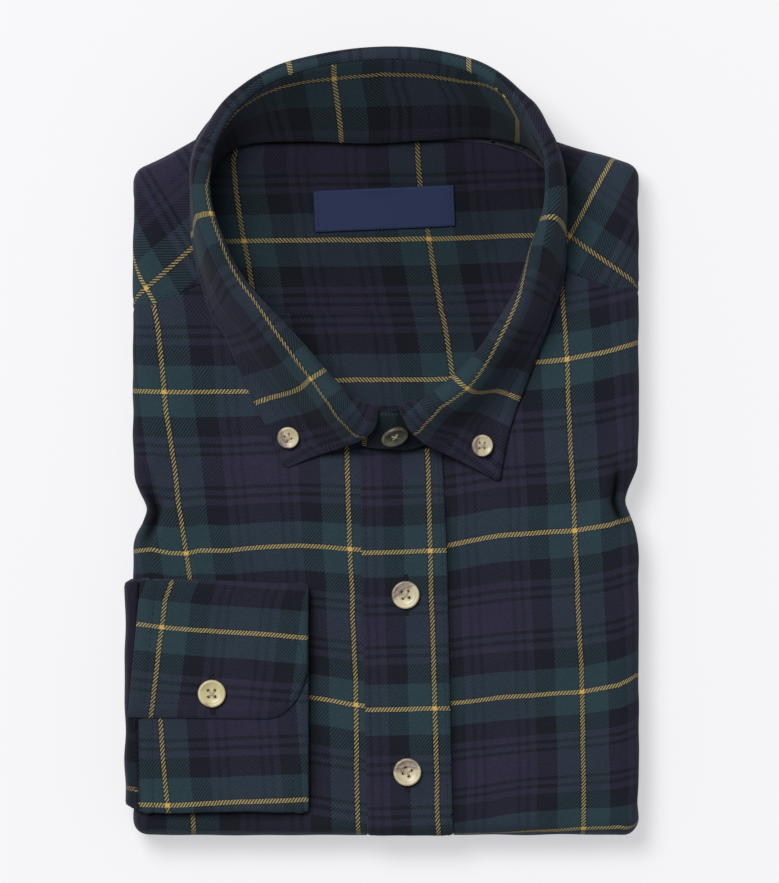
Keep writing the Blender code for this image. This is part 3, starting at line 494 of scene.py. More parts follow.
def stack_z(point):
    """Height of the flat top of the fronts and yoke."""
    low, high = BACK_DROP_Y
    return TOP_Z - BACK_DROP * ease((point.y - low) / (high - low))


def inside_z(point):
    """Height of the right side of the back, seen through the neck."""
    sink = ease(inside_neck(point) / DISH_RUN)
    for start, end in (DISH_FRONT_Y, DISH_BACK_Y):
        sink *= ease((point.y - start) / (end - start))
    return stack_z(point) - CLOTH_UNDER - INSIDE_GAP - DISH_DEPTH * sink


def lean(z, plan):
    """Section height z, lowered where the stack is thinner."""
    if z <= UPPER_FOLD_Z:
        return z
    drop = (TOP_Z - stack_z(plan)) * (z - UPPER_FOLD_Z) / (TOP_Z - UPPER_FOLD_Z)
    return z - drop


def placket_press(x):
    """How far the placket's thickness is pressed into the stack at x, round the bottom fold."""
    from_edge = PRESS_HALF - abs(x - placket_middle())
    return PRESS_DEPTH * ease(from_edge / PRESS_FADE)


def rim_ruling(place, depth=0.0):
    """Points of one ruling round the folded edge, from the underside to the flat top."""
    points = []
    edge = rim_point(place, 0.0)
    room = (edge - neck_point(bearing_of(edge))).length * SQUEEZE
    for (inset, z), (_, face_z) in zip(rim_section(place, depth), rim_section(place, 0.0)):
        if face_z > UPPER_FOLD_Z:
            inset = min(inset, room + depth)
        plan = rim_point(place, inset)
        if int(place) % PLACES == BOTTOM_RUN:
            press = placket_press(plan.x)
            plan.y += press * ease(face_z / PRESS_LOW_Z) * ease((PRESS_TOP_Z - face_z) / PRESS_RUN)
            z += press * (1.0 - ease((face_z - 1.0) / PRESS_LOW_Z))
        points.append(Vector((plan.x, plan.y, lean(z, plan))))
    return points


def ruling(place, plateau, depth=0.0, tuck=0.0):
    """One whole ruling: the folded edge, then over the flat top to the neck seam, or a tuck short."""
    points = rim_ruling(place, depth)
    start = points[-1].xy
    end = neck_point(bearing_of(rim_point(place, 0.0)), tuck)
    for step in range(1, plateau + 1):
        plan = start.lerp(end, step / plateau)
        points.append(Vector((plan.x, plan.y, stack_z(plan) - depth)))
    return points


# ---- The tartan's coordinates ----
RUN_ON = 0.12          # the steepest that a line runs on past its ends


def line_at(table, along):
    """A measured line's place across at each value along it, running on straight past its ends."""
    known = np.array(sorted(table))
    keys, values = known[:, 0], known[:, 1]
    across = np.interp(along, keys, values)
    for end, inner, beyond in ((0, 1, along < keys[0]), (-1, -2, along > keys[-1])):
        slope = (values[end] - values[inner]) / (keys[end] - keys[inner])
        slope = np.clip(slope, -RUN_ON, RUN_ON)
        across = np.where(beyond, values[end] + slope * (along - keys[end]), across)
    return across


def setts(lines, along, across):
    """Each point's place in setts, across a family of numbered lines."""
    lines = sorted(lines)
    places = [line_at(table, along) for _, table in lines]
    count = lines[0][0] + (across - places[0]) / SETT
    for index in range(len(lines) - 1):
        share = (across - places[index]) / (places[index + 1] - places[index])
        step = lines[index + 1][0] - lines[index][0]
        count = np.where(across > places[index], lines[index][0] + share * step, count)
    return np.where(across > places[-1], lines[-1][0] + (across - places[-1]) / SETT, count)


def chart(warp, weft):
    """The tartan's coordinates at flat points (x, y), from measured warp and weft lines."""
    def coordinates(x, y):
        return setts(warp, y, x), setts(weft, x, y)
    return coordinates


def turned_chart(warp, weft):
    """The chart of a piece cut with its length, x, along the warp."""
    def coordinates(x, y):
        return -setts(warp, x, y), setts(weft, y, x)
    return coordinates


def inside_chart(warp, weft):
    """The chart of the wrong side, where the twill leans the other way."""
    right_side = chart(warp, weft)

    def coordinates(x, y):
        across, along = right_side(x, y)
        return -across, along
    return coordinates


def yoke_chart(x, y):
    """The coordinates on the outer yoke's two halves, each turned its own way."""
    parts = []
    for middle_x, middle_y, warp_run, weft_run in YOKE_CROSSINGS:
        along_warp = np.array([math.cos(math.radians(warp_run)), math.sin(math.radians(warp_run))])
        along_weft = np.array([math.cos(math.radians(weft_run)), math.sin(math.radians(weft_run))])
        basis = np.linalg.inv(np.column_stack((along_weft, along_warp)))
        offset = np.stack((x - middle_x, y - middle_y))
        parts.append(np.tensordot(basis, offset, axes=1) / SETT)
    left, right = parts
    return np.where(x < 0.0, left, right)


# ---- Grids of cloth ----
class Cloth:
    """A grid of points on a piece's outer face, and the tartan's coordinates at each."""

    def __init__(self, rows):
        self.points = np.array([[tuple(point) for point in row] for row in rows])
        self.flat = self.points[:, :, :2].copy()
        # painted shade: how much darker each point's colour is drawn where less light falls; none if
        # unshaded
        self.painted_shade = None
        self.measure()

    def lay_flat(self, flats):
        """Sets the flat positions, which run on round the folded edges."""
        self.flat = np.array([[tuple(point) for point in flat] for flat in flats])

    def measure(self):
        """Arc lengths along the rows and down the columns."""
        across = np.linalg.norm(np.diff(self.points, axis=1), axis=2)
        down = np.linalg.norm(np.diff(self.points, axis=0), axis=2)
        self.across = np.pad(np.cumsum(across, axis=1), ((0, 0), (1, 0)))
        self.down = np.pad(np.cumsum(down, axis=0), ((1, 0), (0, 0)))

    def normals(self):
        """Unit normals, out of the outer face."""
        normal = np.cross(np.gradient(self.points, axis=0), np.gradient(self.points, axis=1))
        return normal / np.maximum(np.linalg.norm(normal, axis=2, keepdims=True), 1e-9)

    def edge_distance(self, edges):
        """Distance along the cloth to the nearest of some edges of the grid."""
        distances = {
            "first row": self.down,
            "last row": self.down[-1:] - self.down,
            "first column": self.across,
            "last column": self.across[:, -1:] - self.across,
        }
        return np.minimum.reduce([distances[edge] for edge in edges])

    def push(self, heights, taper=0.0):
        """Moves the points out along the normals, less at thin edges, and keeps the new normals."""
        self.taper = taper * np.ones_like(heights)
        self.points = self.points + self.normals() * (heights - self.taper)[:, :, None]
        self.outward = self.normals()

    def round_corner(self, row_edge, radius):
        """Rounds the grid's corner between its first or last row and its last column."""
        beside_row = self.edge_distance([row_edge])
        beside_column = self.edge_distance(["last column"])
        a = np.clip(radius - beside_row, 0.0, radius)
        b = np.clip(radius - beside_column, 0.0, radius)
        shift_a = a - a * np.sqrt(1.0 - b * b / (2.0 * radius * radius))
        shift_b = b - b * np.sqrt(1.0 - a * a / (2.0 * radius * radius))
        into_rows = np.gradient(self.points, axis=0) * (1.0 if row_edge == "first row" else -1.0)
        into_columns = -np.gradient(self.points, axis=1)
        for shift, way in ((shift_a, into_rows), (shift_b, into_columns)):
            way = way / np.linalg.norm(way, axis=2, keepdims=True)
            self.points = self.points + way * shift[:, :, None]

    def paint(self, coordinates, x=None, y=None):
        """Sets the tartan's coordinates from a chart, at flat positions."""
        x = self.flat[:, :, 0] if x is None else x
        y = self.flat[:, :, 1] if y is None else y
        self.setts = np.stack(coordinates(x, y), axis=-1)

    def at(self, row, column, lift=0.0):
        """Point between the grid's points, lifted off the outer face."""
        low_row = min(int(row), self.points.shape[0] - 2)
        low_column = min(int(column), self.points.shape[1] - 2)
        a, b = row - low_row, column - low_column
        total = np.zeros(3)
        for i, wi in ((0, 1.0 - a), (1, a)):
            for j, wj in ((0, 1.0 - b), (1, b)):
                spot = (low_row + i, low_column + j)
                total += wi * wj * (self.points[spot] + self.outward[spot] * lift)
        return total

    def inset_path(self, edge, inset, clear_of=(), lift=0.05):
        """Points on the cloth a set distance in from one edge, no nearer than that to some others."""
        distance = self.edge_distance([edge])
        others = self.edge_distance(clear_of) if clear_of else None
        rows, columns = distance.shape
        path = []
        along_rows = edge.endswith("column")
        for index in range(rows if along_rows else columns):
            line = distance[index] if along_rows else distance[:, index]
            order = np.argsort(line)
            spot = float(np.interp(inset, line[order], order))
            row, column = (index, spot) if along_rows else (spot, index)
            if others is not None and others[int(round(row)), int(round(column))] < inset * 0.98:
                continue
            path.append(self.at(row, column, lift))
        return path

    def nearest(self, x, y, lift=0.0):
        """Point of the upper face straight over or under a place in plan."""
        gap = np.hypot(self.points[:, :, 0] - x, self.points[:, :, 1] - y)
        level = np.where(gap < gap.min() + 1.5, self.points[:, :, 2], -1e9)
        row, column = np.unravel_index(np.argmax(level - gap), gap.shape)
        return Vector((x, y, float(self.points[row, column, 2]) + lift))


# soft waves of the cloth: size, height, seed
WAVES = {
    "fronts, broad": (62.0, 0.6, 3),
    "fronts, small": (21.0, 0.14, 5),
    "inside, broad": (48.0, 0.45, 8),
    "inside, small": (17.0, 0.08, 9),
    "placket": (14.0, 0.08, 12),
    "stand": (30.0, 0.2, 15),
    "leaf, broad": (34.0, 0.25, 21),
    "leaf, edges": (11.0, 0.16, 22),
    "sleeve": (26.0, 0.25, 31),
    "cuff, broad": (40.0, 0.25, 41),
    "cuff, small": (13.0, 0.06, 42),
}
WAVE_TRAINS = 7
WAVE_SUM = 2.6         # the trains' usual height when they add up


def waves(x, y, name):
    """Soft uneven waves: a few sine trains of about one size crossing at odd angles."""
    size, height, seed = WAVES[name]
    random = np.random.default_rng(seed)
    total = np.zeros_like(x)
    for _ in range(WAVE_TRAINS):
        angle = random.uniform(0.0, math.pi)
        length = size * random.uniform(0.7, 1.5)
        start = random.uniform(0.0, 2.0 * math.pi)
        total += np.sin(2.0 * math.pi * (x * math.cos(angle) + y * math.sin(angle)) / length + start)
    return total * height / WAVE_SUM


GROOVE_HALF = 0.9      # half width of the dip under a line of stitches
SWELL_MIDDLE, SWELL_HALF = 0.5, 0.34   # where the swell beside it lies, as shares of the inset


def stitched_edge(distance, inset, dip, swell):
    """Height beside a topstitched edge: a dip on the stitches and a soft swell outside them."""
    groove = -dip * np.exp(-((distance - inset) / GROOVE_HALF) ** 2)
    ridge = swell * np.exp(-((distance - inset * SWELL_MIDDLE) / (inset * SWELL_HALF)) ** 2)
    return groove + ridge


def thin_edge(distance, amount, reach):
    """How much thinner the cloth is pressed toward an edge."""
    return amount * np.exp(-(distance / reach) ** 2)


CREASE_FADE = 0.35     # each end of a crease fades over this share of its length
CREASE_FADE_LONGEST = 14.0
CREASE_START = 0.15    # how far into its fade it starts


def crease_heights(creases, x, y):
    """Heights of listed creases: troughs and ridges along short paths, fading at both ends."""
    total = np.zeros_like(x)
    for _, height, width, path in creases:
        path = np.array(path)
        lengths = np.linalg.norm(np.diff(path, axis=0), axis=1)
        starts = np.concatenate(([0.0], np.cumsum(lengths)))
        nearest = np.full(x.shape, 1e9)
        along = np.zeros_like(x)
        for index, length in enumerate(lengths):
            start, step = path[index], (path[index + 1] - path[index]) / length
            reach = (x - start[0]) * step[0] + (y - start[1]) * step[1]
            reach = np.clip(reach, 0.0, length)
            gap = np.hypot(x - start[0] - reach * step[0], y - start[1] - reach * step[1])
            closer = gap < nearest
            nearest = np.where(closer, gap, nearest)
            along = np.where(closer, starts[index] + reach, along)
        fade_run = min(CREASE_FADE * starts[-1], CREASE_FADE_LONGEST)
        fade = (ease(along / fade_run + CREASE_START)
                * ease((starts[-1] - along) / fade_run + CREASE_START))
        total += height * np.exp(-(nearest / width) ** 2) * fade
    return total


def make_mesh(name, points, faces, material, uvs=None):
    """An object from points in millimetres, with a UV map if one is given."""
    mesh = bpy.data.meshes.new(name)
    mesh.from_pydata([tuple(point) for point in np.asarray(points) * MM], [], faces)
    mesh.materials.append(material)
    if uvs is not None:
        layer = mesh.uv_layers.new(name="cloth")
        corners = np.empty(len(mesh.loops), dtype=np.int32)
        mesh.loops.foreach_get("vertex_index", corners)
        layer.data.foreach_set("uv", np.asarray(uvs)[corners].astype(np.float32).ravel())
    mesh.shade_smooth()
    obj = bpy.data.objects.new(name, mesh)
    bpy.context.scene.collection.objects.link(obj)
    return obj


def border(rows, columns):
    """Indices round a grid's border, in the order that keeps a rim's faces turned outwards."""
    first = [(0, column) for column in range(columns)]
    last = [(row, columns - 1) for row in range(1, rows)]
    back = [(rows - 1, column) for column in range(columns - 2, -1, -1)]
    home = [(row, 0) for row in range(rows - 2, 0, -1)]
    return first + last + back + home


RIM_BULGE = 0.42       # how far a rim rounds out, as a share of the thickness


def shell(name, cloth, thickness, material):
    """The piece as a closed shell: outer face, inner face and a rounded rim between them."""
    rows, columns, _ = cloth.points.shape
    normals = cloth.normals()
    outer = cloth.points.reshape(-1, 3)
    depths = thickness - cloth.taper
    inner = (cloth.points - normals * depths[:, :, None]).reshape(-1, 3)
    count = rows * columns
    ring = border(rows, columns)
    rim = []
    for row, column in ring:
        inside = (min(max(row, 1), rows - 2), min(max(column, 1), columns - 2))
        out = cloth.points[row, column] - cloth.points[inside]
        out -= normals[row, column] * out.dot(normals[row, column])
        out /= max(np.linalg.norm(out), 1e-9)
        rim.append(cloth.points[row, column] - normals[row, column] * depths[row, column] / 2.0
                   + out * depths[row, column] * RIM_BULGE)
    faces = []
    for row in range(rows - 1):
        for column in range(columns - 1):
            corner = row * columns + column
            quad = (corner, corner + columns, corner + columns + 1, corner + 1)
            faces.append(quad)
            faces.append(tuple(count + index for index in reversed(quad)))
    edge = [row * columns + column for row, column in ring]
    for index, this in enumerate(edge):
        following = (index + 1) % len(edge)
        middle, next_middle = 2 * count + index, 2 * count + following
        faces.append((this, edge[following], next_middle, middle))
        faces.append((middle, next_middle, count + edge[following], count + this))
    uvs = cloth.setts.reshape(-1, 2)
    uvs = np.concatenate((uvs, uvs, uvs[edge]))
    obj = make_mesh(name, np.concatenate((outer, inner, np.array(rim))), faces, material, uvs)
    # the painted shade goes with the mesh as a point attribute, which darkens the cloth's colour
    if cloth.painted_shade is not None:
        painted_shade = cloth.painted_shade.reshape(-1)
        layer = obj.data.attributes.new("painted_shade", "FLOAT", "POINT")
        layer.data.foreach_set("value", np.concatenate((painted_shade, painted_shade, painted_shade[edge])).astype(np.float32))
    return obj


# how far in from its edge each topstitching runs
YOKE_STITCH_INSET = 1.5
INSIDE_STITCH_INSET = 1.6
LABEL_STITCH_INSET = 1.2
STAND_STITCH_INSET = 1.8
PLACKET_STITCH_INSET = 1.8
LEAF_STITCH_INSET = 6.0
CUFF_STITCH_INSET = 6.0

# ---- Fronts and yoke ----
PLATEAU_STEPS = 58
YOKE_TUCK = 2.3        # the outer yoke ends this far outside the neck seam, under the stand
# creases on the fronts and yoke: height, half width, path
CREASES = (
    ("right waist fold", -4.2, 2.4, ((-99.0, -6.0), (-95.2, -16.0), (-92.0, -25.0), (-92.6, -31.0),
                                     (-96.0, -42.0))),
    ("right waist roll", 1.6, 5.0, ((-96.5, -4.0), (-91.0, -14.0), (-87.5, -24.0))),
    ("right waist run", -0.7, 7.0, ((-90.0, -27.0), (-76.0, -34.0), (-60.0, -38.0))),
    ("left waist fold", -4.2, 2.4, ((98.6, -9.0), (96.8, -18.0), (95.8, -25.0), (98.0, -34.0))),
    ("left waist roll", 1.3, 5.5, ((99.0, -4.0), (93.0, -14.0), (90.0, -26.0), (93.0, -38.0))),
    ("left waist run", -0.6, 7.0, ((92.0, -24.0), (78.0, -29.0), (64.0, -30.0))),
)
# painted shade where the cloth folds in on itself, or lies beside the placket's and the cuff's edges,
# and no light falls: darkness, half width, path
RECESSES = (
    ("right waist", 0.85, 2.0, ((-97.2, -17.0), (-95.2, -24.2), (-93.6, -28.0), (-94.0, -31.0),
                                (-95.6, -35.5), (-96.8, -40.0), (-97.6, -44.0))),
    ("left waist", 1.0, 2.1, ((97.6, -11.0), (96.6, -18.0), (96.3, -24.2), (97.8, -30.5),
                              (99.8, -35.5))),
    ("placket", 0.4, 1.5, ((26.4, -22.0), (27.6, -50.0), (28.8, -110.0), (30.0, -158.0))),
    ("cuff's right edge", 0.5, 2.2, ((-28.6, -58.0), (-28.6, -152.0))),
    ("cuff's lower edge", 0.45, 1.9, ((-99.0, -153.8), (-30.0, -153.8))),
)


CALM_START = 0.45      # the cloth lies still out to this share of a button's diameter
CALM_RUN = 9.0         # and its waves grow back over this distance


def calm(x, y):
    """0 under a button and 1 well away from all of them."""
    share = np.ones_like(x)
    for _, button_x, button_y, _, diameter, *_ in BUTTONS:
        gap = np.hypot(x - button_x, y - button_y)
        share = share * ease((gap - diameter * CALM_START) / CALM_RUN)
    return share


EDGE_WAVES = 0.15      # what is left of the broad waves at a folded edge
EDGE_RUN = 24.0        # they grow to their full height over this distance


def broad_waves(x, y):
    """The fronts' broad waves, which die out towards the folded edges."""
    inset = np.minimum(np.minimum(x - LEFT_X, RIGHT_X - x), y - BOTTOM_Y)
    return waves(x, y, "fronts, broad") * blend(EDGE_WAVES, 1.0, ease(inset / EDGE_RUN))


def front_waves(x, y):
    """Soft unevenness of the fronts and yoke."""
    soft = broad_waves(x, y) + waves(x, y, "fronts, small")
    return soft * calm(x, y) + crease_heights(CREASES, x, y)


def body_cloth(start, end, depth=0.0, tuck=0.0):
    """A front's or the yoke's grid, with its flat position run on round the folded edge."""
    rows, flats = [], []
    for place in places_between(start, end):
        row = ruling(place, PLATEAU_STEPS, depth, tuck)
        rim_count = len(row) - PLATEAU_STEPS
        turn = row[rim_count - 1].xy
        out = (rim_point(place, 0.0) - turn).normalized()
        corner, on_run = divmod(int(place) % PLACES, 2)
        if on_run:
            out = -inward_normal(corner)
        flat = [point.xy for point in row]
        reach = 0.0
        for index in range(rim_count - 2, -1, -1):
            reach += (row[index] - row[index + 1]).length
            flat[index] += out * (reach - (flat[index] - turn).dot(out))
        rows.append(row)
        flats.append(flat)
    cloth = Cloth(rows)
    cloth.lay_flat(flats)
    return cloth


def body_pieces(materials):
    """The two fronts and the outer yoke."""
    right_seam, left_seam = SHOULDER_SEAM_Y
    spans = (
        ("cloth_front_right", "front_right", place_at(LEFT_RUN, y=right_seam - SEAM_GAP),
         PLACES + place_at(BOTTOM_RUN, x=FRONT_UNDERLAP_X),
         chart(FRONT_RIGHT_WARP, FRONT_RIGHT_WEFT)),
        ("cloth_front_left", "front_left", place_at(BOTTOM_RUN, x=FRONT_LEFT_START_X),
         place_at(RIGHT_RUN, y=left_seam - SEAM_GAP), chart(FRONT_LEFT_WARP, FRONT_LEFT_WEFT)),
        ("cloth_yoke_outer", "yoke_outer", place_at(RIGHT_RUN, y=left_seam + SEAM_GAP),
         place_at(LEFT_RUN, y=right_seam + SEAM_GAP), yoke_chart),
    )
    pieces = {}
    for name, node, start, end, coordinates in spans:
        cloth = body_cloth(start, end, tuck=YOKE_TUCK if node == "yoke_outer" else 0.0)
        cloth.paint(coordinates)
        heights = front_waves(cloth.flat[:, :, 0], cloth.flat[:, :, 1])
        seams = ["first row", "last row"] if node == "yoke_outer" else (
            ["first row"] if node == "front_right" else ["last row"])
        heights += stitched_edge(cloth.edge_distance(seams), YOKE_STITCH_INSET, 0.35, 0.3)
        cloth.push(heights)
        if node != "yoke_outer":
            # painted shade in the recesses, darkest where no light falls
            cloth.painted_shade = crease_heights(RECESSES, cloth.flat[:, :, 0], cloth.flat[:, :, 1])
        pieces[node] = (shell(name, cloth, CLOTH, materials["cloth"]), cloth)
    return pieces


UNDER_CLOTH = 1.7      # from a piece's outer face down to the hidden layers
HIDDEN_DROP = 2.9      # from the inside of the back down to the hidden layers
FLOOR_INSETS = (18.4, 17.2)    # the hidden layers meet the floor here, inside the shown cloth
HIDDEN_NECK = (6.5, 4.0, 0.0)  # their rings out under the neck seam
HIDDEN_SHARES = (0.15, 0.3, 0.6)   # and inside it, from the seam to the middle
WHOLE_TURN = PLACES - 0.0001   # all the way round, just short of the start


def hidden_stack(materials):
    """Back, sleeves and tail, folded out of sight: one rounded solid that follows the shown cloth."""
    cloth = body_cloth(0.0, WHOLE_TURN, UNDER_CLOTH)
    x, y = cloth.flat[:, :, 0], cloth.flat[:, :, 1]
    cloth.push(front_waves(x, y))
    middle = Vector((NECK_X, NECK_Y))
    points, count = [], 0
    for index, place in enumerate(places_between(0.0, WHOLE_TURN)[:-1]):
        bearing = bearing_of(rim_point(place, 0.0))
        floor = [Vector((*rim_point(place, inset), 0.0)) for inset in FLOOR_INSETS]
        shown = [Vector(point) for point in cloth.points[index, 1:-6]]
        plans = [neck_point(bearing, offset) for offset in HIDDEN_NECK]
        plans += [neck_point(bearing).lerp(middle, share) for share in HIDDEN_SHARES]
        ring = floor + shown + [Vector((*plan, inside_z(plan) - HIDDEN_DROP)) for plan in plans]
        count = len(ring)
        points += ring
    total = len(points)
    lines = total // count
    faces = []
    for line in range(lines):
        this, following = line * count, ((line + 1) % lines) * count
        for step in range(count - 1):
            faces.append((this + step, following + step, following + step + 1, this + step + 1))
        faces.append((this + count - 1, following + count - 1, total))
    faces.append(tuple(line * count for line in reversed(range(lines))))
    points.append(Vector((NECK_X, NECK_Y, inside_z(middle) - HIDDEN_DROP)))
    return make_mesh("hidden_stack", points, faces, materials["hidden"])


# ---- Inside of the neck ----
def inside_row(y, count):
    """Plan points across the inside of the neck at one y, running under the neck seam."""
    def reach(side):
        step = 0.0
        while inside_neck(Vector((NECK_X + side * step, y))) > -UNDERLAP and step < 90.0:
            step += 0.1
        return NECK_X + side * step
    left, right = reach(-1), reach(1)
    return [Vector((blend(left, right, index / count), y)) for index in range(count + 1)]


INSIDE_SHADE = (0.18, 0.44)    # how much less light falls there, near the front and at the back
INSIDE_SHADE_Y = (20.0, 120.0)


def inside_pieces(materials):
    """Inner yoke and back, seen through the neck."""
    back_y = neck_point(90.0, UNDERLAP).y - 1.0
    front_y = neck_point(270.0, UNDERLAP).y + 4.0
    spans = (
        ("cloth_yoke_inside", "yoke_inside", INSIDE_SEAM_Y + SEAM_GAP / 2.0, back_y,
         inside_chart(YOKE_INSIDE_WARP, YOKE_INSIDE_WEFT), "first row"),
        ("cloth_back_inside", "back_inside", front_y, INSIDE_SEAM_Y - SEAM_GAP / 2.0,
         inside_chart(BACK_INSIDE_WARP, BACK_INSIDE_WEFT), "last row"),
    )
    pieces = {}
    for name, node, low, high, coordinates, seam in spans:
        count = math.ceil((high - low) / MESH_STEP)
        rows = []
        for index in range(count + 1):
            plans = inside_row(blend(low, high, index / count), 84)
            rows.append([Vector((plan.x, plan.y, inside_z(plan))) for plan in reversed(plans)])
        cloth = Cloth(rows)
        cloth.paint(coordinates)
        x, y = cloth.flat[:, :, 0], cloth.flat[:, :, 1]
        heights = waves(x, y, "inside, broad") + waves(x, y, "inside, small")
        heights += stitched_edge(cloth.edge_distance([seam]), INSIDE_STITCH_INSET, 0.3, 0.3)
        cloth.push(heights)
        # painted shade inside the neck, deeper towards the back
        low_y, high_y = INSIDE_SHADE_Y
        deep = ease((y - low_y) / (high_y - low_y))
        cloth.painted_shade = INSIDE_SHADE[0] + (INSIDE_SHADE[1] - INSIDE_SHADE[0]) * deep
        pieces[node] = (shell(name, cloth, CLOTH, materials["cloth"]), cloth)
    return pieces


def neck_label(materials):
    """The bare woven label on the inner yoke."""
    turn = math.radians(LABEL_TURN)
    rows = []
    for row in range(21):
        depth = (row / 20.0 - 0.5) * LABEL_DEPTH
        points = []
        for column in range(61):
            across = (0.5 - column / 60.0) * LABEL_WIDTH
            x = LABEL_CENTRE[0] + across * math.cos(turn) - depth * math.sin(turn)
            y = LABEL_CENTRE[1] + across * math.sin(turn) + depth * math.cos(turn)
            points.append(Vector((x, y, inside_z(Vector((x, y))) + SEAM_GAP + LABEL + 0.1)))
        rows.append(points)
    cloth = Cloth(rows)
    cloth.paint(lambda x, y: (x / SETT, y / SETT))
    x, y = cloth.flat[:, :, 0], cloth.flat[:, :, 1]
    heights = waves(x, y, "inside, broad")
    ends = cloth.edge_distance(["first column", "last column"])
    heights += stitched_edge(ends, LABEL_STITCH_INSET, 0.2, 0.0)
    cloth.push(heights)
    return shell("cloth_neck_label", cloth, LABEL, materials["label"]), cloth


# ---- Placket ----
def front_placket(materials):
    """The front band with the buttonholes, laid on both fronts and round the bottom fold."""
    out = SEAM_GAP + PLACKET
    rows, flats = [], []
    columns = 30
    for column in range(columns + 1):
        share = column / columns

        def edge_x(y):
            return blend(look_up(PLACKET_EDGES, y, 1), look_up(PLACKET_EDGES, y, 2), share)

        wrap = rim_ruling(place_at(BOTTOM_RUN, x=edge_x(BOTTOM_Y)), -out)
        top = wrap[-1].y
        count = math.ceil((PLACKET_END_Y - top) / 1.2)
        levels = [blend(top, PLACKET_END_Y, (step + 1) / count) for step in range(count)]
        row = wrap + [Vector((edge_x(y), y, TOP_Z + out)) for y in levels]
        flat = [point.xy for point in row]
        reach = 0.0
        for index in range(len(wrap) - 2, -1, -1):
            reach += (wrap[index] - wrap[index + 1]).length
            flat[index] = Vector((edge_x(top - reach), top - reach))
        rows.append(row)
        flats.append(flat)
    shortest = min(len(row) for row in rows)
    cloth = Cloth([row[:shortest] for row in rows])
    cloth.lay_flat([flat[:shortest] for flat in flats])
    cloth.paint(chart(PLACKET_WARP, PLACKET_WEFT))
    x, y = cloth.flat[:, :, 0], cloth.flat[:, :, 1]
    heights = (broad_waves(x, y) + waves(x, y, "placket")) * calm(x, y)
    sides = cloth.edge_distance(["first row", "last row"])
    heights += stitched_edge(sides, PLACKET_STITCH_INSET, 0.15, 0.3)
    cloth.push(heights, thin_edge(sides, 0.5, 1.4))
    return shell("cloth_front_placket", cloth, PLACKET, materials["cloth"]), cloth


# ---- Collar ----
STAND_SAMPLES = 320
STAND_STEPS = 24
LEAF_SAMPLES = 330
ROLL_STEPS = 14
ROLL_ANGLES = (60.0, 165.0)    # the leaf leaves its roll somewhere between these, in degrees
ROLL_TRIALS = 24               # steps of the search for the angle that aims it at its edge
LEAF_LIFT = 0.3                # how far it holds that way, as a share of the fall
FALL_STEPS = 44
TIP_RADIUS = 2.4
# yellow lines on the leaf and the stand, which are cut with their length along the warp, and where
# the green and the black beside them end: warp lines are (distance along, distance up) pairs, weft
# lines (distance up, distance along)
GREEN_SIDE, BLACK_SIDE = GREEN_END / 2.0, BLACK_END / 2.0
LEAF_LINE = (
    (4.8, 24.8), (9.5, 21.0), (20.8, 15.9), (32.0, 14.3), (40.3, 13.4), (57.8, 11.3), (74.0, 7.5),
    (102.9, 6.0), (126.0, 4.6), (134.0, 2.0), (147.0, -2.0), (170.0, -4.5), (235.0, -6.0),
    (335.0, -4.0), (352.0, -1.5), (363.3, 1.4), (375.3, 3.9), (393.4, 7.5), (412.7, 10.5),
    (423.5, 12.4), (434.3, 14.2), (449.1, 14.8), (464.5, 22.9),
)
# how far below the yellow line the leaf's green and black end, at the fronts and at the back
LEAF_BELOW = (
    # distance along, green, black
    (0.0, 6.5, 18.5),
    (140.0, 6.0, 18.5),
    (190.0, 10.6, 19.0),
    (320.0, 10.6, 19.0),
    (350.0, 6.0, 18.5),
    (464.5, 6.5, 18.5),
)
LEAF_WARP = (
    (0, LEAF_LINE),
    (GREEN_SIDE, tuple((s, t + look_up(LEAF_BELOW, s, 1)) for s, t in LEAF_LINE)),
    (BLACK_SIDE, tuple((s, t + look_up(LEAF_BELOW, s, 2)) for s, t in LEAF_LINE)),
)
LEAF_WEFT = (
    (0, ((8.9, 32.0), (14.9, 33.3), (37.2, 30.6), (49.3, 29.2))),
    (1, ((6.2, 114.2), (13.2, 115.4), (28.5, 111.7))),
    (2, ((0.0, 197.6), (10.0, 197.6))),
    (3, ((0.0, 274.5), (10.0, 272.0))),
    (4, ((2.2, 359.4), (8.5, 356.8), (27.3, 358.1))),
    (5, ((10.8, 436.9), (15.5, 435.6), (33.9, 433.0), (47.5, 435.6))),
)
STAND_LINE = (
    (0.0, 20.5), (60.0, 24.0), (120.0, 29.0), (146.0, 27.0), (160.5, 24.3), (172.8, 25.4),
    (181.2, 26.6), (189.8, 27.6), (210.8, 29.9), (229.5, 31.8), (244.9, 30.6), (253.9, 29.2),
    (261.9, 28.0), (271.8, 28.4), (279.1, 27.4), (300.0, 29.0), (330.0, 29.0), (400.0, 24.0),
    (455.8, 20.5),
)
STAND_LINE_HALF = 0.6      # the line's half width there, where the stand turns over
STAND_WARP = (
    (-BLACK_SIDE, ((0.0, 1.5), (120.0, 5.5), (330.0, 5.5), (455.8, 1.5))),
    (-GREEN_SIDE, ((0.0, 10.0), (120.0, 16.8), (330.0, 16.8), (455.8, 10.0))),
    (-WARP_YELLOW / 2.0, tuple((s, t - STAND_LINE_HALF) for s, t in STAND_LINE)),
    (WARP_YELLOW / 2.0, tuple((s, t + STAND_LINE_HALF) for s, t in STAND_LINE)),
)
STAND_WEFT = (
    (0, ((0.0, 62.0), (36.0, 60.0))),
    (1, ((0.0, 138.0), (36.0, 136.0))),
    (2, ((0.0, 213.9), (30.0, 210.8), (36.0, 210.8))),
    (3, ((8.2, 288.6), (18.7, 286.5), (27.1, 279.1))),
    (4, ((0.0, 368.0), (36.0, 366.0))),
    (5, ((0.0, 454.5), (36.0, 454.5))),
)
STAND_SHADE = 0.4          # how much less light falls on the stand, deep inside the collar
TAB_SHADE = 0.42           # and on its ends, between the leaf's two fronts


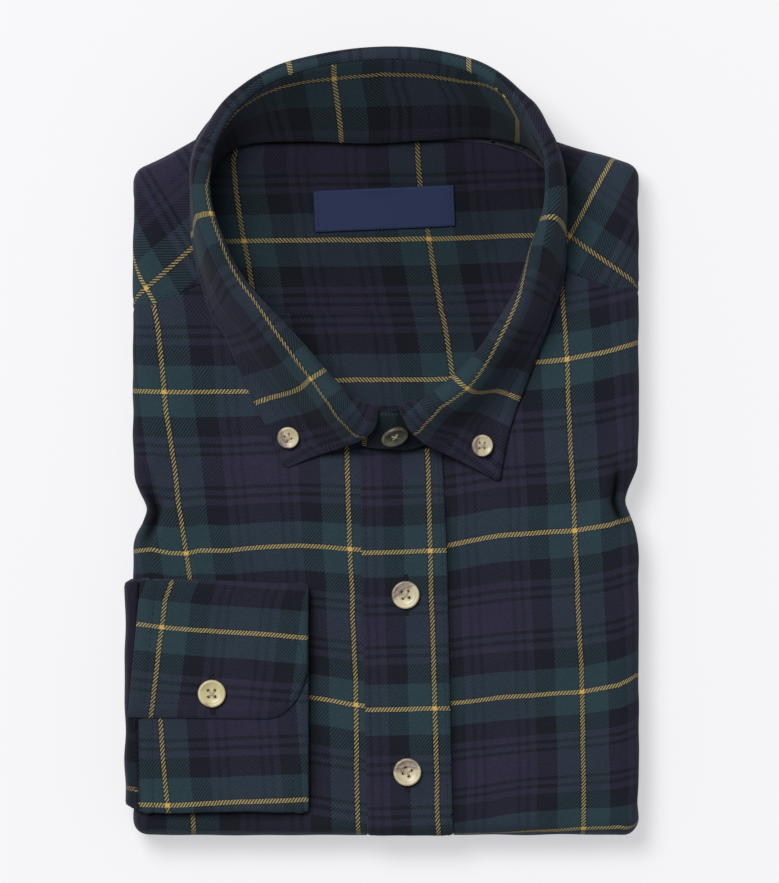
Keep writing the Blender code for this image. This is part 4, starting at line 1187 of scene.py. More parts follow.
def collar_stand(materials):
    """The band that carries the leaf, from the right tab round the neck to the left one."""
    body = [row[:6] for row in COLLAR_SECTIONS]
    table = [list(row) for row in reversed(RIGHT_TAB)] + body + [list(row) for row in LEFT_TAB]
    rows = []
    for index in range(STAND_SAMPLES + 1):
        x0, y0, z0, x1, y1, z1 = smooth_rows(table, index / STAND_SAMPLES)
        low, high = Vector((x0, y0, z0)), Vector((x1, y1, z1))
        rows.append([low.lerp(high, step / STAND_STEPS) for step in range(STAND_STEPS + 1)])
    cloth = Cloth(rows)
    along = cloth.down[:, STAND_STEPS // 2][:, None] * np.ones_like(cloth.across)
    cloth.paint(turned_chart(STAND_WARP, STAND_WEFT), along, cloth.across)
    heights = waves(along, cloth.across, "stand")
    cloth.push(heights)
    # painted shade deep inside the collar and on the tabs between the leaf's fronts
    from_ends = np.minimum(along, along[-1:] - along)
    cloth.painted_shade = STAND_SHADE * ease(from_ends / 110.0) + TAB_SHADE * ease(1.0 - from_ends / 60.0)
    return shell("cloth_collar_stand", cloth, FACED, materials["cloth"]), cloth


def leaf_section(row, along, roll):
    """One section of the leaf: from the stand's top round the roll, then down to its edge."""
    x0, y0, z0, x1, y1, z1, x2, y2, z2, lie_in, lie_up = row
    seam, top, edge = Vector((x0, y0, z0)), Vector((x1, y1, z1)), Vector((x2, y2, z2))
    climb = (top - seam).normalized()
    outward = climb.cross(along).normalized()
    start = top + climb * LEAF_GAP
    turn_start = start + climb * LEAF_GAP
    centre = turn_start + outward * roll

    def on_roll(angle):
        return centre + (climb * math.sin(angle) - outward * math.cos(angle)) * roll

    def heading(angle):
        return climb * math.cos(angle) + outward * math.sin(angle)

    def aim(angle):
        return heading(angle).dot((edge - on_roll(angle)).normalized())

    low, high = math.radians(ROLL_ANGLES[0]), math.radians(ROLL_ANGLES[1])
    for _ in range(ROLL_TRIALS):
        third = (high - low) / 3.0
        if aim(low + third) < aim(high - third):
            low += third
        else:
            high -= third
    end = (low + high) / 2.0
    points = [start] + [on_roll(end * step / ROLL_STEPS) for step in range(ROLL_STEPS + 1)]
    leave = points[-1]
    back = (leave - edge).xy.normalized()
    lift = leave + heading(end) * (edge - leave).length * LEAF_LIFT
    rest = edge + Vector((back.x * lie_in, back.y * lie_in, lie_up))
    for step in range(1, FALL_STEPS + 1):
        share = step / FALL_STEPS
        rise = 1.0 - share
        points.append(leave * rise ** 3 + lift * (3.0 * rise * rise * share)
                      + rest * (3.0 * rise * share * share) + edge * share ** 3)
    return points


def collar_leaf(materials):
    """The leaf, with its two buttoned-down points."""
    rows = []
    for index in range(LEAF_SAMPLES + 1):
        position = index / LEAF_SAMPLES
        row = smooth_rows(COLLAR_SECTIONS, position)
        before = smooth_rows(COLLAR_SECTIONS, max(0.0, position - 0.01))
        after = smooth_rows(COLLAR_SECTIONS, min(1.0, position + 0.01))
        along = Vector(after[3:6]) - Vector(before[3:6])
        roll = blend(ROLL_BACK, ROLL_FRONT, ease(abs(position - 0.5) * 2.0))
        rows.append(leaf_section(row, along, roll))
    cloth = Cloth(rows)
    along = cloth.down[:, ROLL_STEPS][:, None] * np.ones_like(cloth.across)
    cloth.paint(turned_chart(LEAF_WARP, LEAF_WEFT), along, cloth.across)
    heights = waves(along, cloth.across, "leaf, broad")
    edges = cloth.edge_distance(["first row", "last row", "last column"])
    heights += stitched_edge(edges, LEAF_STITCH_INSET, 0.4, 0.35)
    heights += waves(along, cloth.across, "leaf, edges") * np.exp(-edges / 9.0)
    cloth.push(heights, thin_edge(edges, 0.7, 1.6))
    cloth.round_corner("first row", TIP_RADIUS)
    cloth.round_corner("last row", TIP_RADIUS)
    return shell("cloth_collar_leaf", cloth, FACED, materials["cloth"]), cloth


# ---- Sleeve and cuff ----
def sleeve_right(materials):
    """The right sleeve where it comes out of the stack and rounds the edge to the cuff."""
    low, high = SLEEVE_ENDS_Y
    count = math.ceil((high - low) / MESH_STEP)
    rows = []
    for index in range(count + 1):
        y = blend(high, low, index / count)
        near_end = max(0.0, 1.0 - min(high - y, y - low) / SLEEVE_CORNER)
        tuck = (1.0 - math.sqrt(1.0 - near_end * near_end)) * SLEEVE_CORNER
        rows.append([Vector((LEFT_X - out + tuck, y, z)) for out, z in
                     (smooth_rows(SLEEVE_SECTION, step / 24) for step in range(25))])
    cloth = Cloth(rows)
    cloth.paint(chart(SLEEVE_WARP, SLEEVE_WEFT),
                LEFT_X - 3.0 - (cloth.across[:, -1:] - cloth.across), cloth.flat[:, :, 1])
    cloth.push(waves(cloth.flat[:, :, 1], cloth.across, "sleeve"))
    # painted shade over the whole sleeve
    cloth.painted_shade = SLEEVE_SHADE * np.ones_like(cloth.across)
    return shell("cloth_sleeve_right", cloth, SLEEVE, materials["cloth"]), cloth


CUFF_LIFT = 0.1            # the cuff's layers lie this much over the faces below them
CUFF_STEP = 1.2            # spacing of the path's points on its straight stretches
TOP_FOLD_TURN, LOW_FOLD_TURN = 12, 18      # and round its folds, in degrees


def cuff_path():
    """The cuff's outer face along its length, as (y, z): flap edge, over the top fold, underneath,
    over the bottom fold and back up under the flap."""
    layer = FACED + CUFF_LIFT + SEAM_GAP
    level = [CUFF_BASE_Z + FACED + CUFF_LIFT + layer * step for step in range(3)]
    half_top = (level[2] - CUFF_BASE_Z) / 2.0
    half_low = (level[1] - CUFF_BASE_Z) / 2.0

    def straight(start, end, z):
        count = math.ceil(abs(end - start) / CUFF_STEP)
        return [(blend(start, end, step / count), z) for step in range(count)]

    top, low = CUFF_TOP_Y - half_top, CUFF_BOTTOM_Y + half_low
    path = straight(FLAP_EDGE_Y, top, level[2])
    path += [(top + half_top * math.sin(math.radians(a)),
              CUFF_BASE_Z + half_top + half_top * math.cos(math.radians(a)))
             for a in range(0, 180, TOP_FOLD_TURN)]
    path += straight(top, low, CUFF_BASE_Z)
    path += [(low - half_low * math.sin(math.radians(a)),
              CUFF_BASE_Z + half_low - half_low * math.cos(math.radians(a)))
             for a in range(0, 180, LOW_FOLD_TURN)]
    return path + straight(low, CUFF_LAP_Y, level[1]) + [(CUFF_LAP_Y, level[1])]


def cuff_right(materials):
    """The right cuff, buttoned: one strip wound flat, its flap end on top with a rounded corner."""
    rows, on_top = [], []
    columns = 56
    for y, z in cuff_path():
        on_flap = z > CUFF_BASE_Z + 2.5 * FACED
        ends = CUFF_LEFT_FLAP if on_flap else CUFF_LEFT_UNDER
        down = (CUFF_TOP_Y - y) / (CUFF_TOP_Y - CUFF_BOTTOM_Y)
        left = blend(ends[0], ends[1], min(1.0, down * (FLAP_SPLAY if on_flap else 1.0)))
        row = []
        for index in range(columns + 1):
            across = index / columns
            x = blend(left, CUFF_RIGHT_X, across)
            shift = -CUFF_SLANT * across * (1.0 - down)
            corner = max(0.0, x - (CUFF_RIGHT_X - FLAP_CORNER[0])) / FLAP_CORNER[0]
            if on_flap:
                rounding = (1.0 - math.sqrt(1.0 - min(corner, 0.98) ** 2)) * FLAP_CORNER[1]
                start, end = FLAP_CORNER_Y
                shift += rounding * ease((y - start) / (end - start))
            row.append(Vector((x, y + shift, z)))
        rows.append(list(reversed(row)))
        on_top.append(on_flap)
    cloth = Cloth(rows)
    x, y = cloth.flat[:, :, 0], cloth.flat[:, :, 1]
    flap = np.stack(chart(FLAP_WARP, FLAP_WEFT)(x, y), axis=-1)
    under = np.stack(chart(CUFF_WARP, CUFF_WEFT)(x, y), axis=-1)
    cloth.setts = np.where(np.array(on_top)[:, None, None], flap, under)
    heights = waves(x, y, "cuff, broad") + waves(x, y, "cuff, small")
    edges = cloth.edge_distance(["first row", "first column", "last column"])
    heights += stitched_edge(edges, CUFF_STITCH_INSET, 0.3, 0.3)
    flap_edge = cloth.edge_distance(["first row"])
    cloth.push(heights, np.maximum(thin_edge(edges, 0.85, 2.2), thin_edge(flap_edge, 1.15, 3.0)))
    return shell("cloth_cuff_right", cloth, FACED, materials["cloth"]), cloth


# ---- Buttons ----
BUTTON_SIDES = 64
# the button's section: distance from the middle as a share of the radius, height as a share
BUTTON_PROFILE = (
    (0.0, 0.66), (0.30, 0.66), (0.60, 0.69), (0.70, 0.78), (0.78, 0.88), (0.85, 0.93), (0.91, 0.92),
    (0.96, 0.86), (1.0, 0.66), (0.98, 0.45), (0.90, 0.16), (0.78, 0.0), (0.0, 0.0),
)
THREAD_RADIUS = 0.19
STRAND_SIDE = 0.16         # each strand lies this far to the side of its cross's middle
THREAD_DIP = 0.5           # it starts this far down in a hole
THREAD_BOW = 0.85          # and rises by this over the middle
THREAD_OVER = 0.12         # the upper strands of the cross ride this much higher


def lathe(profile, radius, height, sides):
    """Points and faces of a turned solid; the profile runs from the middle over the rim and back."""
    points, faces, rings = [], [], []
    for share, level in profile:
        count = 1 if share == 0.0 else sides
        rings.append(list(range(len(points), len(points) + count)))
        for index in range(count):
            angle = 2.0 * math.pi * index / sides
            points.append((share * radius * math.cos(angle), share * radius * math.sin(angle),
                           level * height))
    for upper, lower in zip(rings, rings[1:]):
        for index in range(sides):
            following = (index + 1) % sides
            if len(upper) == 1:
                faces.append((upper[0], lower[index], lower[following]))
            elif len(lower) == 1:
                faces.append((upper[following], upper[index], lower[0]))
            else:
                faces.append((upper[following], upper[index], lower[index], lower[following]))
    return points, faces


def tube(path, radius, sides=8):
    """Points and faces of a round thread along a path, closed at both ends."""
    path = [Vector(point) for point in path]
    points, faces = [], []
    across = None
    for index, point in enumerate(path):
        ahead = path[min(index + 1, len(path) - 1)] - path[max(index - 1, 0)]
        ahead.normalize()
        if across is None:
            across = ahead.orthogonal().normalized()
        across = (across - ahead * across.dot(ahead)).normalized()
        beside = ahead.cross(across)
        for side in range(sides):
            angle = 2.0 * math.pi * side / sides
            points.append(point + (across * math.cos(angle) + beside * math.sin(angle)) * radius)
    for index in range(len(path) - 1):
        for side in range(sides):
            following = (side + 1) % sides
            low = index * sides
            faces.append((low + side, low + following, low + sides + following, low + sides + side))
    faces.append(tuple(reversed(range(sides))))
    faces.append(tuple(range((len(path) - 1) * sides, len(path) * sides)))
    return points, faces


def join(parts):
    """One list of points and one of faces from several."""
    points, faces = [], []
    for part_points, part_faces in parts:
        start = len(points)
        points += [Vector(point) for point in part_points]
        faces += [tuple(start + index for index in face) for face in part_faces]
    return points, faces


def button_frame(x, y, z, forward, aside, turn):
    """The matrix that puts a button in its place, in millimetres."""
    turns = [math.radians(angle) for angle in (forward, aside, turn)]
    place = Matrix.Rotation(turns[2], 4, "Z") @ Matrix.Rotation(turns[1], 4, "Y")
    return Matrix.Translation((x, y, z)) @ place @ Matrix.Rotation(turns[0], 4, "X")


def finish_mesh(obj):
    """Replaces an object's mesh with what its modifiers make of it."""
    depsgraph = bpy.context.evaluated_depsgraph_get()
    mesh = bpy.data.meshes.new_from_object(obj.evaluated_get(depsgraph))
    obj.modifiers.clear()
    obj.data = mesh


# which horn each button is cut from; the stand's button has the horn in a darker copy, as painted shade
# under the collar
HORN = {
    "button_front_1": "horn",
    "button_front_2": "horn",
    "button_cuff": "yellow_horn",
    "button_collar_right": "horn",
    "button_collar_left": "horn",
    "button_stand": "shaded_horn",
}
# how its dark cloud lies: the way to the dark side, in degrees, and where it starts, in radii from
# the middle
HORN_CLOUDS = {
    "button_front_1": (128.0, 0.12),
    "button_front_2": (96.0, 0.05),
    "button_cuff": (232.0, 0.80),
    "button_collar_right": (205.0, 0.25),
    "button_collar_left": (178.0, 0.18),
    "button_stand": (60.0, -0.6),
}


def pierced_button(name, node, diameter, place, material):
    """A turned button with four holes cut through it."""
    points, faces = lathe(BUTTON_PROFILE, diameter / 2.0, BUTTON_THICK, BUTTON_SIDES)
    placed = [place @ Vector(point) for point in points]
    way, start = HORN_CLOUDS[node]
    way = Vector((math.cos(math.radians(way)), math.sin(math.radians(way))))
    middle = place.translation.xy
    offsets = [(point.xy - middle) / (diameter / 2.0) for point in placed]
    uvs = [(offset.dot(way) - start, offset.cross(way)) for offset in offsets]
    button = make_mesh(name, placed, faces, material, uvs)
    offset = diameter * BUTTON_HOLE_OFFSET
    pegs = []
    for side in (-1, 1):
        for end in (-1, 1):
            peg = [place @ Vector((side * offset, end * offset, BUTTON_THICK * level))
                   for level in (-0.6, 1.6)]
            pegs.append(tube(peg, diameter * BUTTON_HOLE_SIZE / 2.0, sides=20))
    points, faces = join(pegs)
    cutter = make_mesh(name + "_holes", points, faces, material)
    bpy.context.view_layer.update()
    cut = button.modifiers.new("holes", "BOOLEAN")
    cut.operation = "DIFFERENCE"
    cut.solver = "EXACT"
    cut.object = cutter
    finish_mesh(button)
    bpy.data.objects.remove(cutter, do_unlink=True)
    return button


def button_thread(name, diameter, place, material):
    """Thread through the four holes, crossed over the middle."""
    offset = diameter * BUTTON_HOLE_OFFSET
    low = BUTTON_THICK * 0.6 - THREAD_DIP
    strands = []
    for turn in (-1.0, 1.0):
        for strand in (-STRAND_SIDE, STRAND_SIDE):
            path = []
            for step in range(17):
                along = blend(-1.0, 1.0, step / 16)
                bow = low + (1.0 - abs(along) ** 5) * THREAD_BOW + (THREAD_OVER if turn > 0.0 else 0.0)
                spot = Vector((along * offset + strand * turn, along * offset * turn - strand, bow))
                path.append(place @ spot)
            strands.append(tube(path, THREAD_RADIUS))
    points, faces = join(strands)
    return make_mesh(name, points, faces, material)


def buttons(materials):
    """Every button with its thread."""
    pieces = []
    for name, x, y, z, diameter, forward, aside, turn in BUTTONS:
        place = button_frame(x, y, z, forward, aside, turn)
        piece = pierced_button("look_" + name, name, diameter, place, materials[HORN[name]])
        thread = button_thread("thread_" + name, diameter, place, materials["thread"])
        pieces.append((piece, name, thread))
    return pieces


# ---- Sewing ----
STITCH_PITCH = 2.6
STITCH_LENGTH = 2.0
STITCH_RADIUS = 0.15
BUTTONHOLE_HALF = 8.2
BUTTONHOLE_HALF_WIDTH = 1.1
BUTTONHOLE_PITCH = 0.42
BUTTONHOLE_THREAD = 0.2
BUTTONHOLE_BAR = 1.0       # length of the bar at each end
WHOLE_WIDTH = (-1.0, 1.0)  # a bar's stitch, from side to side in half widths
BOTH_LIPS = ((-1.0, -0.15), (0.15, 1.0))
TOPSTITCHING = (
    # name, node, edge, inset, edges to keep clear of
    ("leaf", "collar_leaf", "last column", LEAF_STITCH_INSET, ("first row", "last row")),
    ("leaf", "collar_leaf", "first row", LEAF_STITCH_INSET, ("last column",)),
    ("leaf", "collar_leaf", "last row", LEAF_STITCH_INSET, ("last column",)),
    ("placket", "front_placket", "first row", PLACKET_STITCH_INSET, ()),
    ("placket", "front_placket", "last row", PLACKET_STITCH_INSET, ()),
    ("cuff", "cuff_right", "first row", CUFF_STITCH_INSET, ("first column", "last column")),
    ("cuff", "cuff_right", "first column", CUFF_STITCH_INSET, ("first row",)),
    ("cuff", "cuff_right", "last column", CUFF_STITCH_INSET, ("first row",)),
    ("yoke", "yoke_outer", "first row", YOKE_STITCH_INSET, ()),
    ("yoke", "yoke_outer", "last row", YOKE_STITCH_INSET, ()),
    ("neck", "yoke_inside", "first row", INSIDE_STITCH_INSET, ()),
    ("stand", "collar_stand", "first column", STAND_STITCH_INSET, ()),
    ("label", "neck_label", "first column", LABEL_STITCH_INSET, ()),
    ("label", "neck_label", "last column", LABEL_STITCH_INSET, ()),
)
# buttonholes: the button on each, and the way it runs in degrees from +X
BUTTONHOLES = (
    ("button_front_1", "front_placket", 91.0),
    ("button_front_2", "front_placket", 90.0),
    ("button_cuff", "cuff_right", 92.0),
)


def stitch_group():
    """Geometry nodes that lay stitches end to end along a line of mesh edges."""
    group = bpy.data.node_groups.new("stitches", "GeometryNodeTree")
    socket = group.interface.new_socket
    socket("Path", in_out="INPUT", socket_type="NodeSocketGeometry")
    for name, value in (("Pitch", STITCH_PITCH), ("Length", STITCH_LENGTH), ("Radius", STITCH_RADIUS)):
        socket(name, in_out="INPUT", socket_type="NodeSocketFloat").default_value = value * MM
    socket("Thread", in_out="INPUT", socket_type="NodeSocketMaterial")
    socket("Stitches", in_out="OUTPUT", socket_type="NodeSocketGeometry")

    def node(kind, **settings):
        made = group.nodes.new(kind)
        for key, value in settings.items():
            setattr(made, key, value)
        return made

    start, end = node("NodeGroupInput"), node("NodeGroupOutput")
    line = node("GeometryNodeMeshToCurve")
    spaced = node("GeometryNodeResampleCurve", mode="LENGTH")
    bead = node("GeometryNodeMeshUVSphere")
    bead.inputs["Segments"].default_value = 8
    bead.inputs["Rings"].default_value = 6
    bead.inputs["Radius"].default_value = 1.0
    size = node("ShaderNodeCombineXYZ")
    half = node("ShaderNodeMath", operation="MULTIPLY")
    half.inputs[1].default_value = 0.5
    shaped = node("GeometryNodeTransform")
    tangent = node("GeometryNodeInputTangent")
    turn = node("FunctionNodeAlignRotationToVector", axis="X")
    laid = node("GeometryNodeInstanceOnPoints")
    real = node("GeometryNodeRealizeInstances")
    coloured = node("GeometryNodeSetMaterial")
    for source, target in (
            (start.outputs["Path"], line.inputs["Mesh"]),
            (line.outputs["Curve"], spaced.inputs["Curve"]),
            (start.outputs["Pitch"], spaced.inputs["Length"]),
            (start.outputs["Length"], half.inputs[0]),
            (half.outputs[0], size.inputs["X"]),
            (start.outputs["Radius"], size.inputs["Y"]),
            (start.outputs["Radius"], size.inputs["Z"]),
            (bead.outputs["Mesh"], shaped.inputs["Geometry"]),
            (size.outputs[0], shaped.inputs["Scale"]),
            (spaced.outputs["Curve"], laid.inputs["Points"]),
            (shaped.outputs["Geometry"], laid.inputs["Instance"]),
            (tangent.outputs["Tangent"], turn.inputs["Vector"]),
            (turn.outputs["Rotation"], laid.inputs["Rotation"]),
            (laid.outputs["Instances"], real.inputs["Geometry"]),
            (real.outputs["Geometry"], coloured.inputs["Geometry"]),
            (start.outputs["Thread"], coloured.inputs["Material"]),
            (coloured.outputs["Geometry"], end.inputs["Stitches"])):
        group.links.new(source, target)
    return group


def stitches(name, group, paths, thread):
    """Stitches along some paths on the cloth, as one mesh."""
    points, edges = [], []
    for path in paths:
        start = len(points)
        points += [tuple(point * MM) for point in path]
        edges += [(start + index, start + index + 1) for index in range(len(path) - 1)]
    mesh = bpy.data.meshes.new(name)
    mesh.from_pydata(points, edges, [])
    obj = bpy.data.objects.new(name, mesh)
    bpy.context.scene.collection.objects.link(obj)
    modifier = obj.modifiers.new("stitches", "NODES")
    modifier.node_group = group
    for item in group.interface.items_tree:
        if item.in_out == "INPUT" and item.name == "Thread":
            modifier[item.identifier] = thread
    bpy.context.view_layer.update()
    finish_mesh(obj)
    obj.data.shade_smooth()
    return obj


def runs(path, gap):
    """Splits a path wherever two points lie further apart than a gap."""
    parts, part = [], [path[0]]
    for before, point in zip(path, path[1:]):
        if np.linalg.norm(point - before) > gap:
            parts.append(part)
            part = []
        part.append(point)
    parts.append(part)
    return [part for part in parts if len(part) > 2]


def buttonhole_stitches(pieces, material):
    """Short stitches across both lips of each buttonhole, and right across its ends."""
    spots = {row[0]: row for row in BUTTONS}
    paths = []
    for button, node, run in BUTTONHOLES:
        _, x, y, *_ = spots[button]
        cloth = pieces[node][1]
        along = Vector((math.cos(math.radians(run)), math.sin(math.radians(run))))
        beside = Vector((-along.y, along.x))
        count = int(2.0 * BUTTONHOLE_HALF / BUTTONHOLE_PITCH)
        for step in range(count + 1):
            reach = blend(-BUTTONHOLE_HALF, BUTTONHOLE_HALF, step / count)
            near_end = BUTTONHOLE_HALF - abs(reach) < BUTTONHOLE_BAR
            for sides in (WHOLE_WIDTH,) if near_end else BOTH_LIPS:
                paths.append([cloth.nearest(*(Vector((x, y)) + along * reach
                              + beside * (BUTTONHOLE_HALF_WIDTH * side)), lift=0.05)
                              for side in sides])
    points, faces = join([tube(path, BUTTONHOLE_THREAD, sides=6) for path in paths])
    return make_mesh("buttonhole_stitches", points, faces, material)


def sewing(pieces, materials):
    """Topstitching along the edges and seams, and the buttonholes."""
    group = stitch_group()
    made = []
    for name in dict.fromkeys(line[0] for line in TOPSTITCHING):
        paths = []
        for _, node, edge, inset, clear_of in (line for line in TOPSTITCHING if line[0] == name):
            cloth = pieces[node][1]
            path = cloth.inset_path(edge, inset, list(clear_of), lift=0.02)
            paths += runs(path, 5.0)
        made.append(stitches("sewn_" + name, group, paths, materials["sewing"]))
    made.append(buttonhole_stitches(pieces, materials["sewing"]))
    return made


# ---- Shader nodes ----
class Value:
    """A number in a material, so that node maths reads as plain sums."""

    def __init__(self, tree, socket):
        self.tree = tree
        self.socket = socket

    def math(self, operation, *others):
        node = self.tree.nodes.new("ShaderNodeMath")
        node.operation = operation
        for slot, value in zip(node.inputs, (self, *others)):
            if isinstance(value, Value):
                self.tree.links.new(value.socket, slot)
            else:
                slot.default_value = value
        return Value(self.tree, node.outputs[0])

    def __add__(self, other):
        return self.math("ADD", other)

    def __sub__(self, other):
        return self.math("SUBTRACT", other)

    def __mul__(self, other):
        return self.math("MULTIPLY", other)

    def __truediv__(self, other):
        return self.math("DIVIDE", other)

    def __rsub__(self, other):
        return (self * -1.0) + other

    __radd__ = __add__
    __rmul__ = __mul__

    def smooth(self, low, high):
        """A smooth step from 0 at low to 1 at high."""
        node = self.tree.nodes.new("ShaderNodeMapRange")
        node.interpolation_type = "SMOOTHSTEP"
        self.tree.links.new(self.socket, node.inputs["Value"])
        node.inputs["From Min"].default_value = low
        node.inputs["From Max"].default_value = high
        return Value(self.tree, node.outputs["Result"])


class Shader:
    """A material's node tree, its Principled BSDF and short ways to add nodes."""

    def __init__(self, name, roughness, **constants):
        self.material = bpy.data.materials.new(name)
        self.material.use_nodes = True
        self.tree = self.material.node_tree
        self.surface = self.tree.nodes["Principled BSDF"]
        self.surface.inputs["Roughness"].default_value = roughness
        for key, value in constants.items():
            self.surface.inputs[key.replace("_", " ")].default_value = value

    def node(self, kind, settings=(), **inputs):
        """A node of a kind, with settings and inputs given as numbers, colours or sockets."""
        node = self.tree.nodes.new(kind)
        for key, value in settings:
            setattr(node, key, value)
        for key, value in inputs.items():
            slot = node.inputs[key.replace("_", " ")]
            if isinstance(value, Value):
                self.tree.links.new(value.socket, slot)
            elif isinstance(value, bpy.types.NodeSocket):
                self.tree.links.new(value, slot)
            else:
                slot.default_value = value
        return node

    def noise(self, vector, scale, detail=3.0, roughness=0.55):
        node = self.node("ShaderNodeTexNoise", Vector=vector, Scale=scale, Detail=detail,
                         Roughness=roughness)
        return Value(self.tree, node.outputs["Fac"])

    def mix(self, factor, low, high, blend_type="MIX"):
        """Mix of two colours, each a socket or an (r, g, b)."""
        node = self.tree.nodes.new("ShaderNodeMix")
        node.data_type = "RGBA"
        node.blend_type = blend_type
        if isinstance(factor, Value):
            self.tree.links.new(factor.socket, node.inputs[0])
        else:
            node.inputs[0].default_value = factor
        for slot, value in ((6, low), (7, high)):
            if isinstance(value, bpy.types.NodeSocket):
                self.tree.links.new(value, node.inputs[slot])
            else:
                node.inputs[slot].default_value = (*value, 1.0)
        return node.outputs[2]

    def cloth_map(self):
        """The piece's own UV map, whole and as its two numbers."""
        uv = self.node("ShaderNodeUVMap", settings=(("uv_map", "cloth"),)).outputs["UV"]
        split = self.node("ShaderNodeSeparateXYZ", Vector=uv)
        return uv, Value(self.tree, split.outputs["X"]), Value(self.tree, split.outputs["Y"])

    def bump(self, height, distance, strength=1.0):
        node = self.node("ShaderNodeBump", Height=height, Distance=distance * MM, Strength=strength)
        self.tree.links.new(node.outputs["Normal"], self.surface.inputs["Normal"])

    def colour(self, socket):
        self.tree.links.new(socket, self.surface.inputs["Base Color"])


# the threads' colours. From a yellow line out they run: its dark edge, green, black, then purple
GREEN = (0.0190, 0.0370, 0.0465)
BLACK = (0.0090, 0.0100, 0.0155)
PURPLE = (0.0214, 0.0198, 0.0380)
YELLOW = (0.345, 0.285, 0.135)
CROSSING = (0.52, 0.315, 0.075)
EDGE = (0.0130, 0.0130, 0.0175)
EDGE_WIDTH = 0.015         # of the dark edge beside a yellow line, as a share of the half sett
# the two thin stripes in the purple show less in the warp
WARP_PAIR = (0.0138, 0.0136, 0.0245)
WEFT_PAIR = BLACK
PAIR = ((0.652, 0.701), (0.762, 0.811))


def stripes(shader, place, yellow, pair):
    """The threads' colour at a place in setts, and the distance from the yellow line in its half
    widths."""
    folded = (place + 0.5).math("FRACT") - 0.5
    share = folded.math("ABSOLUTE") * 2.0
    ramp = shader.node("ShaderNodeValToRGB", Fac=share)
    ramp.color_ramp.interpolation = "CONSTANT"
    elements = ramp.color_ramp.elements
    elements[0].position, elements[0].color = 0.0, (*YELLOW, 1.0)
    elements[1].position, elements[1].color = yellow, (*EDGE, 1.0)
    stops = [(yellow + EDGE_WIDTH, GREEN), (GREEN_END, BLACK), (BLACK_END, PURPLE)]
    for start, end in PAIR:
        stops += [(start, pair), (end, PURPLE)]
    for start, colour in stops:
        elements.new(start).color = (*colour, 1.0)
    return ramp.outputs["Color"], share / yellow


def tartan_material():
    """Brushed 2/2 twill: warp and weft stripes crossing, diagonals, and a soft nap."""
    shader = Shader("brushed_tartan", 0.95, Specular_IOR_Level=0.08, Sheen_Weight=0.05,
                    Sheen_Roughness=0.5, Sheen_Tint=(0.75, 0.80, 1.0, 1.0))
    uv, across, along = shader.cloth_map()
    fuzz = (shader.noise(uv, SETT / 0.55, 2.0) - 0.5) * (0.6 / SETT)
    sway = (shader.noise(uv, SETT / 26.0, 1.0) - 0.5) * (1.2 / SETT)
    warp, from_warp = stripes(shader, across + fuzz + sway, WARP_YELLOW, WARP_PAIR)
    weft, from_weft = stripes(shader, along + fuzz - sway, WEFT_YELLOW, WEFT_PAIR)
    phase = (across - along * WALE_SLOPE + sway) * (SETT / WALE)
    wale = (phase * (2.0 * math.pi)).math("SINE")
    fray = (shader.noise(uv, SETT / 0.45, 2.0) - 0.5) * 1.0
    on_top = (wale + fray).smooth(-0.7, 0.6) * 0.78 + 0.15         # the weft's share of the face
    threads = shader.mix(on_top, warp, weft)
    both = (from_warp.math("MAXIMUM", from_weft) * -1.0).smooth(-1.25, -0.9)
    threads = shader.mix(both * 0.8, threads, CROSSING)
    weft_gap = (from_weft * -1.0).smooth(-1.1, -0.9) * (1.0 - on_top)
    warp_gap = (from_warp * -1.0).smooth(-1.1, -0.9) * on_top
    gaps = 1.0 - (weft_gap + warp_gap) * (1.0 - both) * 0.8
    flecks = shader.noise(uv, SETT / 1.6, 6.0, 0.85) * 0.9
    drift = shader.noise(uv, SETT / 22.0, 2.0) * 0.3
    # painted shade and highlight along the twill's ribs: crests lighter, hollows darker
    thread_shading = (phase * (4.0 * math.pi)).math("SINE") * 0.12 + 1.0
    # painted shade from the piece's attribute darkens the threads' colour
    painted_shade = shader.node("ShaderNodeAttribute", settings=(("attribute_name", "painted_shade"),)).outputs["Fac"]
    light = Value(shader.tree, painted_shade) * -1.0 + 1.0
    # the flannel's random mottle, times the ribs' painted shade and highlight, the attribute's painted
    # shade and the darker gaps in the yellow lines
    shade = (flecks + drift + 0.4) * thread_shading * light * gaps
    shaded = shader.node("ShaderNodeVectorMath", settings=(("operation", "SCALE"),),
                         Vector=threads, Scale=shade)
    fibres = shader.noise(uv, SETT / 0.8, 5.0, 0.75).smooth(0.56, 0.74) * 0.06
    shader.colour(shader.mix(fibres, shaded.outputs[0], (0.16, 0.17, 0.20)))
    nap = shader.noise(uv, SETT / 0.9, 5.0, 0.8)
    shader.bump(wale * 0.3 + nap, 0.26, 0.6)
    return shader.material


LABEL_RIB = 0.5        # one fine rib of the label's satin


def label_material():
    """Plain navy satin, woven fine."""
    shader = Shader("label_satin", 0.7, Specular_IOR_Level=0.12)
    uv, _, along = shader.cloth_map()
    ribs = (along * (2.0 * math.pi * SETT / LABEL_RIB)).math("SINE")
    grain = shader.noise(uv, SETT / 0.4, 3.0)
    shader.colour(shader.mix(grain, (0.011, 0.018, 0.052), (0.017, 0.026, 0.072)))
    shader.bump(ribs * 0.2 + grain, 0.06, 0.4)
    return shader.material


HORNS = {
    # pale, tan, brown and deep brown
    "horn": ((0.50, 0.44, 0.29), (0.38, 0.33, 0.205), (0.30, 0.24, 0.20), (0.13, 0.10, 0.085)),
    "yellow_horn": ((0.50, 0.44, 0.25), (0.40, 0.35, 0.18), (0.33, 0.27, 0.15), (0.17, 0.13, 0.08)),
    # painted shade: a darker, greyer copy of the horn, for the stand's button deep under the collar
    "shaded_horn": ((0.15, 0.15, 0.095), (0.105, 0.105, 0.065), (0.08, 0.075, 0.05),
                  (0.05, 0.045, 0.035)),
}
BUTTON_THREAD = (0.50, 0.43, 0.31)
SEWING_THREAD = (0.019, 0.020, 0.031)


